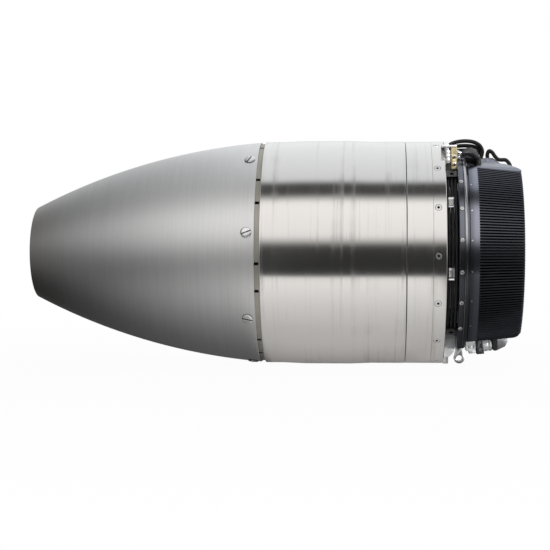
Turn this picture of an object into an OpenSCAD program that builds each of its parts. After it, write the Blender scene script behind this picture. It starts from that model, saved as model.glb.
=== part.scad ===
// Small turbojet engine, single spool: one centrifugal compressor stage and one axial turbine stage.
// Millimetres. The engine axis is X, the intake is at +X, +Z is up.
// The origin is on the axis, inside the raised belt of the combustion case.

/* [Case] */
// Outer radius of the raised belt of the combustion case
case_r = 125; // [121:0.5:130]
// Wall of the case at the belt
case_wall = 2; // [1.7:0.1:2.6]
// Drop from the belt to the bands beside it
belt_step = 1; // [0.6:0.1:1.2]
// Length of the belt, where a clamp band sits
belt_len = 50; // [40:1:56]
// Length of the case along the axis
case_len = 154; // [150:1:170]
// Length of the front ring ahead of the case
ring_len = 42; // [40:0.5:48]
// Gap at the seam between case and front ring
seam_gap = 0.8; // [0.5:0.1:1.5]
// Number of countersunk screws round the front ring
case_screw_count = 15; // [10:1:18]

/* [Nozzle] */
// Length of the outer nozzle
noz_len = 255; // [240:1:275]
// Outer radius of the nozzle at its outlet
noz_exit_r = 51; // [49:0.5:54]
// Sheet thickness of the nozzle and the jet pipe
noz_wall = 1; // [0.8:0.1:1.4]
// Gap between the case and the nozzle's front edge
noz_gap = 5.4; // [4:0.2:7]
// Drop from the belt to the nozzle's front edge
noz_drop = 1.7; // [1.5:0.1:2.2]
// Slope of the nozzle's surface at its front edge, in degrees
noz_slope = 4.5; // [3.5:0.5:6]
// Number of slotted screws round the nozzle
noz_screw_count = 8; // [6:1:10]
// Radius of a nozzle screw's head
noz_head_r = 5.8; // [5:0.2:6.4]

/* [Front cover] */
// Length of the open bay between front ring and cover flange
bay_len = 13; // [12.8:0.1:16]
// Step from the belt down to the cover flange's rim
flange_inset = 7.4; // [6:0.2:8]
// Step from the belt down to the cover flange's flats
flat_inset = 21.5; // [19:0.5:23]
// Length of the cover flange's rim
flange_len = 9; // [8:0.5:11]
// Dark groove between flange and cover
cover_gap = 2.3; // [1.6:0.1:3.2]
// Length of the cover
cover_len = 58; // [56:0.5:64]
// Step from the belt down to the cover's rear edge
cover_inset = 11; // [9:0.5:12]
// Taper of the cover's round sides, in degrees
cover_taper = 7.5; // [6:0.25:8]
// Step from the belt down to the flats of the finned sides
side_inset = 32; // [30:0.5:34]
// Taper of roof and belly, in degrees
flat_taper = 5; // [4:0.25:6]
// Rise of the crowned roof over the finned sides
roof_rise = 8.5; // [7:0.25:9.5]
// Thickness of the belly panel
belly_t = 3; // [2:0.25:4]

/* [Fins] */
// Pitch of the cooling fins, measured at the rear edge's radius
fin_pitch = 3.13; // [2.8:0.01:4]
// Width of the groove between two fins
fin_slot = 1.7; // [1.3:0.05:1.9]
// Depth of the grooves, measured from the rear edge's radius
fin_depth = 13; // [12:0.25:13.5]
// Wall of the finned shells under the grooves
shell_wall = 4; // [3:0.25:5]
// Length of the smooth band behind the fins
fin_lead = 10; // [8:0.5:13]

/* [Intake] */
// Step from the compressor wheel's tip down to the intake throat
intake_inset = 24.5; // [22:0.5:27]
// Wall of the intake duct
duct_wall = 3.5; // [3:0.25:4.5]
// Gap between the intake's lip and the bore of the finned shells
lip_gap = 11; // [9:0.5:15]
// Outer radius of the starter housing
nacelle_r = 29; // [27.5:0.25:31]
// Number of struts that carry the starter housing
strut_count = 4; // [3:1:6]

/* [Compressor] */
// Room for the diffuser's vanes outside the compressor wheel
diffuser_room = 22.5; // [20:0.5:25.5]
// Width of the blades at the wheel's tip
tip_w = 8; // [7:0.25:9.5]
// Gap between blades and their covers
tip_clear = 1; // [0.8:0.05:1.4]
// Hub radius at the front of the wheel
hub_r = 18; // [16:0.5:20]
// Number of full blades, with a splitter after each
blade_count = 9; // [7:1:11]
// Turn of a blade over its front part, in degrees
lead_wrap = 42; // [30:1:48]
// Backward sweep of a blade at the tip, in degrees
back_wrap = 26; // [16:1:34]
// Number of wedge vanes in the diffuser
wedge_count = 15; // [13:1:17]

/* [Turbine] */
// Tip radius of the turbine blades
turbine_r = 76; // [74:0.5:78]
// Root radius of the turbine blades
root_r = 50; // [48.5:0.5:51.5]
// Number of turbine blades
turbine_blades = 25; // [21:1:29]
// Number of guide vanes ahead of the turbine
vane_count = 17; // [13:1:19]

/* [Shaft and bearings] */
// Radius of the shaft between the bearings
shaft_r = 13; // [12:0.25:15]
// Bore radius of both bearings
bearing_bore = 10; // [9.6:0.1:10.4]
// Outer radius of both bearings
bearing_r = 21; // [20.6:0.1:21.6]
// Width of both bearings
bearing_w = 12; // [11:0.25:13]
// Radius of a bearing ball
ball_r = 3.2; // [2.8:0.1:3.3]
// Number of balls in a bearing
ball_count = 10; // [8:1:11]
// Wall of the shaft tunnel round the bearings
tunnel_wall = 4; // [3:0.25:4.5]

/* [Combustor] */
// Gap between the case and the outer liner
liner_gap = 15; // [11:0.5:19]
// Sheet thickness of both liners
liner_wall = 0.8; // [0.6:0.1:1.2]
// Number of vaporiser tubes
stick_count = 12; // [9:1:14]
// Radius of a vaporiser tube
stick_r = 6; // [5:0.25:7]

/* [Outside fittings] */
// Diameter of the hoses in the bay
hose_d = 3.6; // [3:0.1:4]
// Diameter of the cables over the cover
cable_d = 4.4; // [3.6:0.1:5]
// Distance of the mounting lugs from the middle plane
lug_y = 26; // [24:0.5:28]
// Step from the belt down to the circle of the mounting lugs' holes
lug_inset = 6.5; // [5:0.25:7]
// Radius of a mounting lug's threaded hole
lug_hole_r = 2.5; // [2:0.1:3.3]
// Radius of the fuel pump's motor
pump_r = 7; // [6:0.25:7.5]

/* [Hidden] */
$fn = 128;
fit = 0.1;
case_x0 = -case_len / 2;
case_x1 = case_len / 2;
case_bore = case_r - case_wall;
band_r = case_r - belt_step;
belt_mid = -8;
belt_ramp = 4;
belt_x0 = belt_mid - belt_len / 2;
belt_x1 = belt_mid + belt_len / 2;

// Front ring and diffuser rim
ring_x1 = case_x1 + ring_len;
spigot_r = case_bore - fit;
ring_r = spigot_r + 0.9;
ring_bore = spigot_r - 2;
rim_r = ring_bore - fit;
rim_bore = rim_r - 3.3;
diff_disc_r = rim_bore - 15;
wheel_r = diff_disc_r - diffuser_room;
intake_r = wheel_r - intake_inset;
screw_x = ring_x1 - 8.8;
screw_first = -1;
screw_r = 2;
screw_head_r = 3.6;
screw_turn = 360 / case_screw_count;

// Compressor stage
stage_x = ring_x1 - 19;
tip_x0 = stage_x - tip_clear;
wheel_x0 = tip_x0 - tip_w;
wheel_back = wheel_x0 - 2.5;
wheel_rim_r = wheel_r + 0.6;
diff_x0 = wheel_x0 - 9;
ind_x = stage_x + 38;
ind_r = intake_r - tip_clear;
duct_x0 = ind_x + 2;
duct_r = intake_r + duct_wall;
neck_r = duct_r + 3.5;
blade_hub_t = 2.6;
blade_tip_t = 1.3;
blade_sink = 1.2;
split_t = 0.42;

// Cover
flange_r = case_r - flange_inset;
flange_flat = case_r - flat_inset;
cover_r = case_r - cover_inset;
cover_flat = case_r - side_inset;
fin_floor_r = cover_r - fin_depth;
shell_bore = fin_floor_r - shell_wall;
flare_r = shell_bore - lip_gap - duct_wall - intake_r;
flange_x0 = ring_x1 + bay_len;
flange_x1 = flange_x0 + flange_len;
cover_x0 = flange_x1 + cover_gap;
cover_x1 = cover_x0 + cover_len;
fin_x0 = cover_x0 + fin_lead;
roof_half_w = sqrt(cover_r * cover_r - cover_flat * cover_flat);
crown_r = (roof_half_w * roof_half_w + roof_rise * roof_rise) / (2 * roof_rise);
mouth_x = cover_x1 - 0.3;
flare_x0 = mouth_x - flare_r;
lip_r = intake_r + flare_r + duct_wall;
plate_x0 = cover_x1 - 6;
plate_x1 = cover_x1 - 2.5;
nacelle_x0 = ind_x + 12;
nacelle_x1 = cover_x1 - 15.3;
rotor_x0 = nacelle_x0 + 8;
rotor_x1 = nacelle_x1 - 6;
stator_r = nacelle_r - 2.6;
rotor_r = 14.2;
seat_r = 9;
stub_r = 7;
rim_screw_angles = [for (i = [0:5]) -1.3 + 16.6 * (i - 2.5)];
rim_screw_x = flange_x0 + 2.9;
rim_screw_r = 2.2;
set_screw_x = cover_x0 + 2.4;
set_screw_r = 1;
front_screw_pcd = (lip_r + shell_bore) / 2;

// Nozzle
noz_x1 = case_x0 - noz_gap;
noz_x0 = noz_x1 - noz_len;
noz_front_r = case_r - noz_drop;
noz_rise = noz_front_r - noz_exit_r;
noz_chord = sqrt(noz_rise * noz_rise + noz_len * noz_len);
noz_arc = noz_chord / (2 * sin(atan(noz_rise / noz_len) - noz_slope));
noz_cx = noz_x1 + noz_arc * sin(noz_slope);
noz_cr = noz_front_r - noz_arc * cos(noz_slope);
noz_screw_x = noz_x1 - 8.6;
noz_tilt = asin((noz_cx - noz_screw_x) / noz_arc);
noz_screw_first = 10.5;
tab_x0 = noz_x1 - 15;
tab_r_in = case_r - 9;

// Turbine end
turb_x1 = case_x0 - 7;
turb_x0 = turb_x1 - 17;
shroud_r = turbine_r + tip_clear;
shroud_out = shroud_r + 3.2;
vane_x0 = case_x0 - 3;
vane_x1 = case_x0 + 15;
vane_disc_x0 = case_x0 + 9;
tunnel_x0 = case_x0 + 17;
rear_plate_x1 = case_x0 + 7;
rear_plate_x0 = case_x0 + 1;
shroud_x0 = turb_x0 - 3;
shroud_x1 = case_x0 + 18;
pipe_x1 = case_x0 - 13;
pipe_x0 = noz_x0 + 1;
pipe_r = shroud_out + fit + noz_wall;
pipe_exit_r = noz_exit_r - noz_wall - 0.4;
cone_x1 = turb_x0 - 4;
cone_len = 112;
tail_strut_x0 = cone_x1 - 46;
tail_strut_x1 = cone_x1 - 20;

// Shaft and bearings
rear_brg_x0 = case_x0 + 19;
rear_brg_x1 = rear_brg_x0 + bearing_w;
front_brg_x1 = diff_x0 - 4;
front_brg_x0 = front_brg_x1 - bearing_w;
spring_x0 = front_brg_x0 - 4;
pitch_r = (bearing_bore + bearing_r) / 2;
groove_r = ball_r + 0.32;
race_gap = 1.9;
tunnel_r = bearing_r + fit + tunnel_wall;
tunnel_bore = bearing_r - 3;

// Combustor
liner_r = case_bore - liner_gap;
dome_x = case_x1 - 17;
dome_t = 1.2;
liner_in_r = root_r + fit + liner_wall;
stick_pcd = (liner_in_r + liner_r) / 2;
stick_len = 80;

// Bay
hose_r = hose_d / 2;
hose_path_r = flange_r - 7.6;
hose_step = (bay_len - 1) / 3;
hose_x = [for (i = [0:2]) ring_x1 + 0.5 + hose_step * (i + 0.5)];
port_phi = 48;
port_half = 4.5;
hose_end = port_phi - asin(port_half / hose_path_r) - 0.06;
clip_angles = [28.7, -10.8];
lug_pcd = case_r - lug_inset;
lug_z = sqrt(lug_pcd * lug_pcd - lug_y * lug_y);
lug_len = 6;
lug_r = 7;
lug_foot = 8;

// Valve group
valve_y = -flange_r * cos(60.5);
valve_half = 9;
valve_x1 = flange_x0;
valve_x0 = flange_x0 - 6;
valve_z0 = flange_flat - 13;
valve_z1 = flange_flat + 10.5;
can_r = (valve_x0 - ring_x1) / 2 - 0.25;
can_x = ring_x1 + 0.1 + can_r;

// Cables
cable_r = cable_d / 2;
cable_y = [-10, -4.6, 0.8];
loop_rise = [20.4, 15.6, 10.8];
loop_x = ring_x1 + 3.2;
cable_drop = 10;
boss_x = cover_x0 + 18.2;
boss_z = flat_h(boss_x) + roof_rise + 4;
boss2_x = cover_x0 + 27.5;
boss2_y = 12;
boss2_z = flat_h(boss2_x) + roof_rise + 6.9;
bundle_y = [for (i = [-1:1]) valve_y + 6.6 * i];
bundle_r = 2.4;
bundle_x = cover_x0 + 12.7;
bundle_shift = 8;
bundle_x0 = valve_x1 + 5;
bundle_z = valve_z1 - 6.6;
pump_y = -18;
pump_z = -1.2 - pump_r;
pump_x0 = 0.6;
head_len = 10.5;
motor_x = pump_x0 + head_len;
motor_len = 19;
strap_x = motor_x + 0.6;
strap_len = 8;

// Shared shapes

// Solid of revolution about the engine axis, from points given as x and radius
module turned(profile) {
    rotate([0, 90, 0])
        rotate_extrude()
            polygon([for (p = profile) [p[1], p[0]]]);
}

// Part ring about the engine axis between two angles, counted up from the near side
module sector(phi0, phi1) {
    rotate([0, 90, 0])
        rotate([0, 0, 270 - phi1])
            rotate_extrude(angle = phi1 - phi0)
                children();
}

// Places children on a radius: local Z points outward, local X along the engine
module at_angle(phi, x = 0) {
    rotate([-phi, 0, 0])
        translate([x, 0, 0])
            rotate([90, 0, 0])
                children();
}

// Places children on the nozzle's skin at a screw: local Z points out of the sheet
module at_nozzle_screw(i) {
    at_angle(noz_screw_first + i * 360 / noz_screw_count, noz_screw_x)
        translate([0, 0, noz_r(noz_screw_x)])
            rotate([0, -noz_tilt, 0])
                children();
}

module tube_x(x0, x1, r_out, r_in) {
    turned([[x0, r_in], [x0, r_out], [x1, r_out], [x1, r_in]]);
}

// Solid through a row of point rings, each ring counter-clockwise seen from the row's end
module loft(rings) {
    n = len(rings);
    m = len(rings[0]);
    points = [for (ring = rings) for (p = ring) p];
    low = [for (k = [1:m - 2]) [0, k, k + 1]];
    high = [for (k = [1:m - 2]) [(n - 1) * m, (n - 1) * m + k + 1, (n - 1) * m + k]];
    near = [for (i = [0:n - 2]) for (k = [0:m - 1]) let (a = i * m + k, b = a + m, d = i * m + (k + 1) % m)
        k < m / 2 ? [a, b, d + m] : [a, b, d]];
    far = [for (i = [0:n - 2]) for (k = [0:m - 1]) let (a = i * m + k, b = a + m, d = i * m + (k + 1) % m)
        k < m / 2 ? [a, d + m, d] : [b, d + m, d]];
    polyhedron(points, concat(low, high, near, far), convexity = 8);
}

// Smooth route through points lying near one upright plane
function spline(p0, p1, p2, p3, t) = 0.5 * (2 * p1 + (p2 - p0) * t
    + (2 * p0 - 5 * p1 + 4 * p2 - p3) * t * t + (3 * p1 - p0 - 3 * p2 + p3) * t * t * t);
function at_clamped(list, i) = list[max(0, min(len(list) - 1, i))];
function smooth(route, steps) = concat(
    [for (i = [0:len(route) - 2]) for (s = [0:steps - 1])
        spline(at_clamped(route, i - 1), route[i], route[i + 1], at_clamped(route, i + 2), s / steps)],
    [route[len(route) - 1]]);
function unit(v) = v / norm(v);
function heading(line, i) = unit(at_clamped(line, i + 1) - at_clamped(line, i - 1));
function cord_ring(p, t, r, sides) = let (b = unit([0, 1, 0] - t * t[1]), n = cross(b, t))
    [for (k = [0:sides - 1]) p + r * (cos(360 * k / sides) * n + sin(360 * k / sides) * b)];

module cord(route, r, steps = 6, sides = 12) {
    line = smooth(route, steps);
    loft([for (i = [0:len(line) - 1]) cord_ring(line[i], heading(line, i), r, sides)]);
}

// Radius and height laws
function noz_r(x) = noz_cr + sqrt(noz_arc * noz_arc - (x - noz_cx) * (x - noz_cx));
function cone_r(x) = cover_r - (x - cover_x0) * tan(cover_taper);
function flat_h(x) = cover_flat - (x - cover_x0) * tan(flat_taper);
function pipe_law(x) = pipe_r + (pipe_exit_r - pipe_r) * (shroud_x0 - x) / (shroud_x0 - pipe_x0);
function tip_pt(t) = [ind_x - (ind_x - tip_x0) * sin(90 * t), wheel_r - (wheel_r - ind_r) * cos(90 * t)];
function cap_pt(t) = [ind_x - (ind_x - stage_x) * sin(90 * t), wheel_r - (wheel_r - intake_r) * cos(90 * t)];
function hub_pt(t) = [ind_x - (ind_x - wheel_x0) * sin(90 * t), wheel_r - (wheel_r - hub_r) * cos(90 * t)];
function wrap(t) = lead_wrap * pow(1 - t, 1.6) - back_wrap * t * t;
function on_axis(x, r, a) = [x, r * cos(a), r * sin(a)];
function pol(r, a) = [r * cos(a), r * sin(a)];
function turn2(p, a) = [p[0] * cos(a) - p[1] * sin(a), p[0] * sin(a) + p[1] * cos(a)];

// Blade section: camber bow, thickness and lean, leading edge at +X
foil_n = 6;
function foil_half(s, t) = t * (0.5 * sin(180 * pow(s, 0.7)) + 0.1);
function foil_pt(s, c, bow, t, side) = [c * (0.5 - s), bow * 4 * s * (1 - s) + side * foil_half(s, t)];
function foil(c, bow, t, lean) = concat(
    [for (i = [0:foil_n]) turn2(foil_pt(i / foil_n, c, bow, t, 1), lean)],
    [for (i = [foil_n:-1:0]) turn2(foil_pt(i / foil_n, c, bow, t, -1), lean)]);

// Exhaust end

module exhaust_nozzle() {
    color([0.72, 0.72, 0.72])
        difference() {
            rotate([0, 90, 0])
                rotate_extrude()
                    intersection() {
                        difference() {
                            translate([noz_cr, noz_cx])
                                circle(r = noz_arc, $fn = 720);
                            translate([noz_cr, noz_cx])
                                circle(r = noz_arc - noz_wall, $fn = 720);
                        }
                        translate([noz_exit_r / 2, noz_x0])
                            square([case_r, noz_len]);
                    }
            for (i = [0:noz_screw_count - 1])
                at_nozzle_screw(i)
                    translate([0, 0, -6])
                        cylinder(r = 3 + fit, h = 12);
        }
}

module nozzle_screws() {
    seat = 0.05;
    shank = noz_r(noz_screw_x) - tab_r_in - 0.6;
    color([0.85, 0.85, 0.86])
        for (i = [0:noz_screw_count - 1])
            at_nozzle_screw(i)
                difference() {
                    rotate_extrude()
                        polygon([[0, -shank], [3, -shank], [3, seat], [noz_head_r, seat],
                            [noz_head_r, seat + 0.6], [noz_head_r - 0.6, seat + 1.15],
                            [noz_head_r - 1.8, seat + 1.5], [0, seat + 1.6]]);
                    rotate([0, 0, 20 + i * 47])
                        translate([-noz_head_r - 1, -0.8, seat + 0.5])
                            cube([2 * noz_head_r + 2, 1.6, 4]);
                }
}

module rear_flange() {
    strip_r = noz_front_r - 1.5;
    skin = noz_wall + 0.2;
    color([0.7, 0.69, 0.64])
        difference() {
            turned([[tab_x0, tab_r_in], [tab_x0, noz_r(tab_x0) - skin],
                [noz_screw_x, noz_r(noz_screw_x) - skin], [noz_x1, noz_r(noz_x1) - skin],
                [noz_x1, strip_r], [case_x0, strip_r], [case_x0, spigot_r], [rear_plate_x1, spigot_r],
                [rear_plate_x1, shroud_out + fit], [rear_plate_x0, shroud_out + fit],
                [rear_plate_x0, tab_r_in]]);
            for (i = [0:noz_screw_count - 1]) {
                at_nozzle_screw(i)
                    translate([0, 0, -10])
                        cylinder(r = 3 + fit / 2, h = 14);
                for (s = [-1, 1])
                    at_angle(noz_screw_first + i * 360 / noz_screw_count + s * 15.5, 0)
                        translate([tab_x0 - 1, -1.6, tab_r_in - 1])
                            cube([case_x0 - tab_x0 + 0.2, 3.2, 12]);
            }
        }
}

module jet_pipe() {
    color([0.6, 0.57, 0.53])
        turned([[pipe_x1, pipe_r], [shroud_x0, pipe_r], [pipe_x0, pipe_exit_r],
            [pipe_x0, pipe_exit_r - noz_wall], [shroud_x0 - 0.3, pipe_law(shroud_x0 - 0.3) - noz_wall - 2],
            [shroud_x0 - 0.3, shroud_out + fit], [pipe_x1, shroud_out + fit]]);
}

module tail_cone() {
    base_r = root_r - 0.5;
    tip_x = cone_x1 - cone_len;
    color([0.55, 0.52, 0.48])
        union() {
            turned([[cone_x1, 0], [cone_x1, base_r - 1], [cone_x1 - 1, base_r],
                [cone_x1 - 0.2 * cone_len, 0.94 * base_r], [cone_x1 - 0.5 * cone_len, 0.62 * base_r],
                [tip_x + 8, 0.16 * base_r], [tip_x + 2, 0.1 * base_r], [tip_x, 0]]);
            for (i = [0:2])
                at_angle(30 + 120 * i)
                    rotate([90, 0, 0])
                        translate([0, 0, -1.5])
                            linear_extrude(3)
                                polygon([[tail_strut_x0, 0.4 * base_r],
                                    [tail_strut_x0, pipe_law(tail_strut_x0) - noz_wall - 2.3],
                                    [tail_strut_x1, pipe_law(tail_strut_x1) - noz_wall - 2.3],
                                    [tail_strut_x1, 0.6 * base_r]]);
        }
}

module guide_vanes() {
    color([0.58, 0.55, 0.5])
        union() {
            turned([[shroud_x0, shroud_r], [shroud_x0, shroud_out], [rear_plate_x1, shroud_out],
                [rear_plate_x1, shroud_out + 4], [rear_plate_x1 + 3, shroud_out + 4],
                [rear_plate_x1 + 3, shroud_out], [shroud_x1, shroud_out], [shroud_x1, shroud_r]]);
            turned([[vane_x0, root_r - 3], [vane_x0, root_r], [vane_x1, root_r], [vane_x1, root_r - 3],
                [tunnel_x0 - 2, root_r - 6], [tunnel_x0, root_r - 12], [tunnel_x0, tunnel_r + 4],
                [tunnel_x0 + 4, tunnel_r + 4], [tunnel_x0 + 4, tunnel_r + fit],
                [tunnel_x0, tunnel_r + fit], [tunnel_x0, shaft_r + 3], [vane_disc_x0, shaft_r + 3],
                [vane_disc_x0, root_r - 8]]);
            for (i = [0:vane_count - 1])
                at_angle(360 * i / vane_count, (vane_x0 + vane_x1) / 2)
                    translate([0, 0, root_r - 1])
                        linear_extrude(shroud_r - root_r + 2)
                            polygon(foil(17, 4.5, 2.6, -34));
        }
}

// Case and combustor

module combustion_case() {
    color([0.8, 0.8, 0.8])
        turned([[case_x0, band_r], [belt_x0 - belt_ramp, band_r], [belt_x0, case_r], [belt_x1, case_r],
            [belt_x1 + belt_ramp, band_r], [case_x1, band_r], [case_x1, case_bore], [case_x0, case_bore]]);
}

module case_front_ring() {
    line_x = ring_x1 - 14;
    spigot_x = case_x1 - 8;
    seam_x = case_x1 + seam_gap;
    color([0.8, 0.8, 0.8])
        difference() {
            turned([[spigot_x, spigot_r], [seam_x, spigot_r], [seam_x, ring_r],
                [line_x - 0.4, ring_r], [line_x, ring_r - 0.4], [line_x + 0.4, ring_r],
                [ring_x1 - 0.5, ring_r], [ring_x1, ring_r - 0.5], [ring_x1, ring_bore],
                [spigot_x, ring_bore]]);
            for (i = [0:case_screw_count - 1])
                at_angle(screw_first + i * screw_turn, screw_x) {
                    translate([0, 0, ring_bore - 1])
                        cylinder(r = screw_r + fit, h = 8);
                    translate([0, 0, ring_r - 2])
                        cylinder(r1 = screw_r + fit, r2 = screw_head_r + fit, h = 1.6);
                    translate([0, 0, ring_r - 0.4])
                        cylinder(r = screw_head_r + fit, h = 2);
                }
        }
}

module case_screws() {
    color([0.75, 0.75, 0.76])
        for (i = [0:case_screw_count - 1])
            at_angle(screw_first + i * screw_turn, screw_x)
                difference() {
                    rotate_extrude()
                        polygon([[0, rim_bore + 0.3], [screw_r, rim_bore + 0.3], [screw_r, ring_r - 2],
                            [screw_head_r, ring_r - 0.4], [screw_head_r, ring_r - 0.1], [0, ring_r - 0.1]]);
                    translate([0, 0, ring_r - 1.8])
                        cylinder(r = 1.45, h = 4, $fn = 6);
                }
}

module liner_holes(x, count, r_mid, r, turn) {
    for (i = [0:count - 1])
        at_angle(turn + i * 360 / count, x)
            translate([0, 0, r_mid - 3])
                cylinder(r = r, h = 6);
}

module outer_liner() {
    neck_x = shroud_x1 + 2;
    neck_r = shroud_out + fit + liner_wall;
    color([0.5, 0.44, 0.38])
        difference() {
            turned([[shroud_x1 - 4, neck_r], [neck_x, neck_r], [neck_x + 17, liner_r],
                [dome_x + dome_t, liner_r], [dome_x + dome_t, liner_r - liner_wall],
                [neck_x + 17, liner_r - liner_wall], [neck_x, neck_r - liner_wall],
                [shroud_x1 - 4, neck_r - liner_wall]]);
            liner_holes(dome_x - 14, 18, liner_r, 2.2, 0);
            liner_holes(dome_x - 38, 18, liner_r, 3, 10);
            liner_holes(dome_x - 66, 12, liner_r, 4, 0);
        }
}

module inner_liner() {
    color([0.5, 0.44, 0.38])
        difference() {
            tube_x(vane_x1 - 1.4, dome_x + dome_t, liner_in_r, liner_in_r - liner_wall);
            liner_holes(dome_x - 16, 12, liner_in_r, 2, 0);
            liner_holes(dome_x - 44, 12, liner_in_r, 2.6, 15);
        }
}

module liner_dome() {
    color([0.52, 0.46, 0.4])
        difference() {
            tube_x(dome_x, dome_x + dome_t, liner_r - liner_wall - fit, liner_in_r + fit);
            for (i = [0:stick_count - 1])
                at_angle(i * 360 / stick_count)
                    translate([dome_x - 1, 0, stick_pcd])
                        rotate([0, 90, 0])
                            cylinder(r = stick_r + fit / 2, h = 4);
            at_angle(-120 - 180 / stick_count)
                translate([dome_x - 1, 0, stick_pcd + 12])
                    rotate([0, 90, 0])
                        cylinder(r = 4 + fit, h = 4);
        }
}

module vaporiser_tubes() {
    color([0.45, 0.4, 0.36])
        for (i = [0:stick_count - 1])
            at_angle(i * 360 / stick_count)
                translate([dome_x + dome_t - stick_len, 0, stick_pcd])
                    rotate([0, 90, 0])
                        difference() {
                            cylinder(r = stick_r, h = stick_len);
                            translate([0, 0, -1])
                                cylinder(r = stick_r - 0.7, h = stick_len + 2);
                        }
}

module fuel_ring() {
    ring_x = dome_x + dome_t + 2.6;
    color([0.6, 0.58, 0.55])
        union() {
            rotate([0, 90, 0])
                rotate_extrude()
                    translate([stick_pcd, ring_x])
                        circle(r = 2.5);
            for (i = [0:stick_count - 1])
                at_angle(i * 360 / stick_count)
                    translate([ring_x - 14, 0, stick_pcd])
                        rotate([0, 90, 0])
                            cylinder(r = 0.9, h = 14);
        }
}

module igniter() {
    color([0.75, 0.73, 0.68])
        at_angle(-120 - 180 / stick_count)
            translate([dome_x + dome_t, 0, stick_pcd + 12])
                rotate([0, 90, 0])
                    union() {
                        translate([0, 0, -9])
                            cylinder(r = 4, h = 10);
                        cylinder(r = 5.6, h = 4, $fn = 6);
                        translate([0, 0, 3])
                            cylinder(r = 3, h = 7);
                    }
}

// Shaft tunnel and bearings

module shaft_tunnel() {
    bore = bearing_r + fit / 2;
    color([0.7, 0.7, 0.72])
        turned([[tunnel_x0, bore], [tunnel_x0, tunnel_r], [diff_x0 - 4, tunnel_r], [diff_x0 - 4, 44],
            [diff_x0, 44], [diff_x0, bore], [spring_x0, bore], [spring_x0, tunnel_bore],
            [rear_brg_x1, tunnel_bore], [rear_brg_x1, bore]]);
}

module race(x0, r_out, r_in) {
    rotate([0, 90, 0])
        rotate_extrude()
            difference() {
                translate([r_in, x0])
                    square([r_out - r_in, bearing_w]);
                translate([pitch_r, x0 + bearing_w / 2])
                    circle(r = groove_r);
            }
}

module ball_set(x0) {
    union() {
        tube_x(x0 + bearing_w / 2 - 4, x0 + bearing_w / 2 + 4, pitch_r + 1, pitch_r - 1);
        for (i = [0:ball_count - 1])
            at_angle(i * 360 / ball_count, x0 + bearing_w / 2)
                translate([0, 0, pitch_r])
                    sphere(r = ball_r);
    }
}

module front_outer_race() {
    color([0.78, 0.79, 0.8])
        race(front_brg_x0, bearing_r, pitch_r + race_gap);
}

module rear_outer_race() {
    color([0.78, 0.79, 0.8])
        race(rear_brg_x0, bearing_r, pitch_r + race_gap);
}

module front_inner_race() {
    color([0.78, 0.79, 0.8])
        race(front_brg_x0, pitch_r - race_gap, bearing_bore);
}

module rear_inner_race() {
    color([0.78, 0.79, 0.8])
        race(rear_brg_x0, pitch_r - race_gap, bearing_bore);
}

module front_ball_set() {
    color([0.3, 0.3, 0.32])
        ball_set(front_brg_x0);
}

module rear_ball_set() {
    color([0.3, 0.3, 0.32])
        ball_set(rear_brg_x0);
}

// Wave spring between the front outer race and the tunnel's shoulder
module preload_spring() {
    n = 60;
    mid = (spring_x0 + front_brg_x0) / 2;
    swing = (front_brg_x0 - spring_x0) / 2 - 0.55;
    r0 = bearing_r - 2.6;
    r1 = bearing_r - 0.4;
    rings = [for (i = [0:n - 1]) let (a = 360 * i / n, x = mid + swing * sin(3 * a))
        [on_axis(x - 0.5, r0, a), on_axis(x + 0.5, r0, a),
            on_axis(x + 0.5, r1, a), on_axis(x - 0.5, r1, a)]];
    points = [for (ring = rings) for (p = ring) p];
    near = [for (i = [0:n - 1]) for (k = [0:3])
        [i * 4 + k, ((i + 1) % n) * 4 + k, ((i + 1) % n) * 4 + (k + 1) % 4]];
    far = [for (i = [0:n - 1]) for (k = [0:3])
        [i * 4 + k, ((i + 1) % n) * 4 + (k + 1) % 4, i * 4 + (k + 1) % 4]];
    color([0.7, 0.72, 0.75])
        polyhedron(points, concat(near, far), convexity = 6);
}

// Compressor stage

module diffuser() {
    bore = tunnel_r + 1;
    plate_x = wheel_back - 1.5;
    pitch = 360 / wedge_count;
    color([0.75, 0.76, 0.78])
        difference() {
            union() {
                tube_x(diff_x0, ring_x1, rim_r, rim_bore);
                turned([[diff_x0, bore], [diff_x0, diff_disc_r], [wheel_x0, diff_disc_r],
                    [wheel_x0, wheel_r + 2.2], [plate_x, wheel_r + 2.2], [plate_x, bore]]);
                for (i = [0:wedge_count - 1]) {
                    rotate([i * pitch, 0, 0])
                        translate([wheel_x0 - 0.5, 0, 0])
                            rotate([0, 90, 0])
                                linear_extrude(stage_x - wheel_x0 + 0.5)
                                    polygon([pol(wheel_r + 5, 0), pol(wheel_r + 5, 0.7),
                                        pol(diff_disc_r - 0.8, 0.85 * pitch),
                                        pol(diff_disc_r - 0.8, 0.55 * pitch)]);
                    at_angle(i * pitch + 0.3 * pitch)
                        translate([diff_x0 + 0.8, -1.2, diff_disc_r - 1])
                            cube([stage_x - diff_x0 - 0.8, 2.4, rim_bore - diff_disc_r + 2]);
                }
            }
            for (i = [0:case_screw_count - 1])
                at_angle(screw_first + i * screw_turn, screw_x)
                    translate([0, 0, rim_bore - 1])
                        cylinder(r = screw_r + fit / 2, h = 6);
        }
}

module compressor_cover() {
    edge_r = rim_bore - fit;
    color([0.78, 0.79, 0.8])
        turned(concat([for (i = [0:14]) cap_pt(i / 14)],
            [[stage_x, edge_r], [stage_x + 6, edge_r], [stage_x + 6, wheel_r + 12],
                [stage_x + 15, wheel_r - 3], [ind_x - 12, neck_r], [duct_x0, neck_r],
                [duct_x0, intake_r]]));
}

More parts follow.
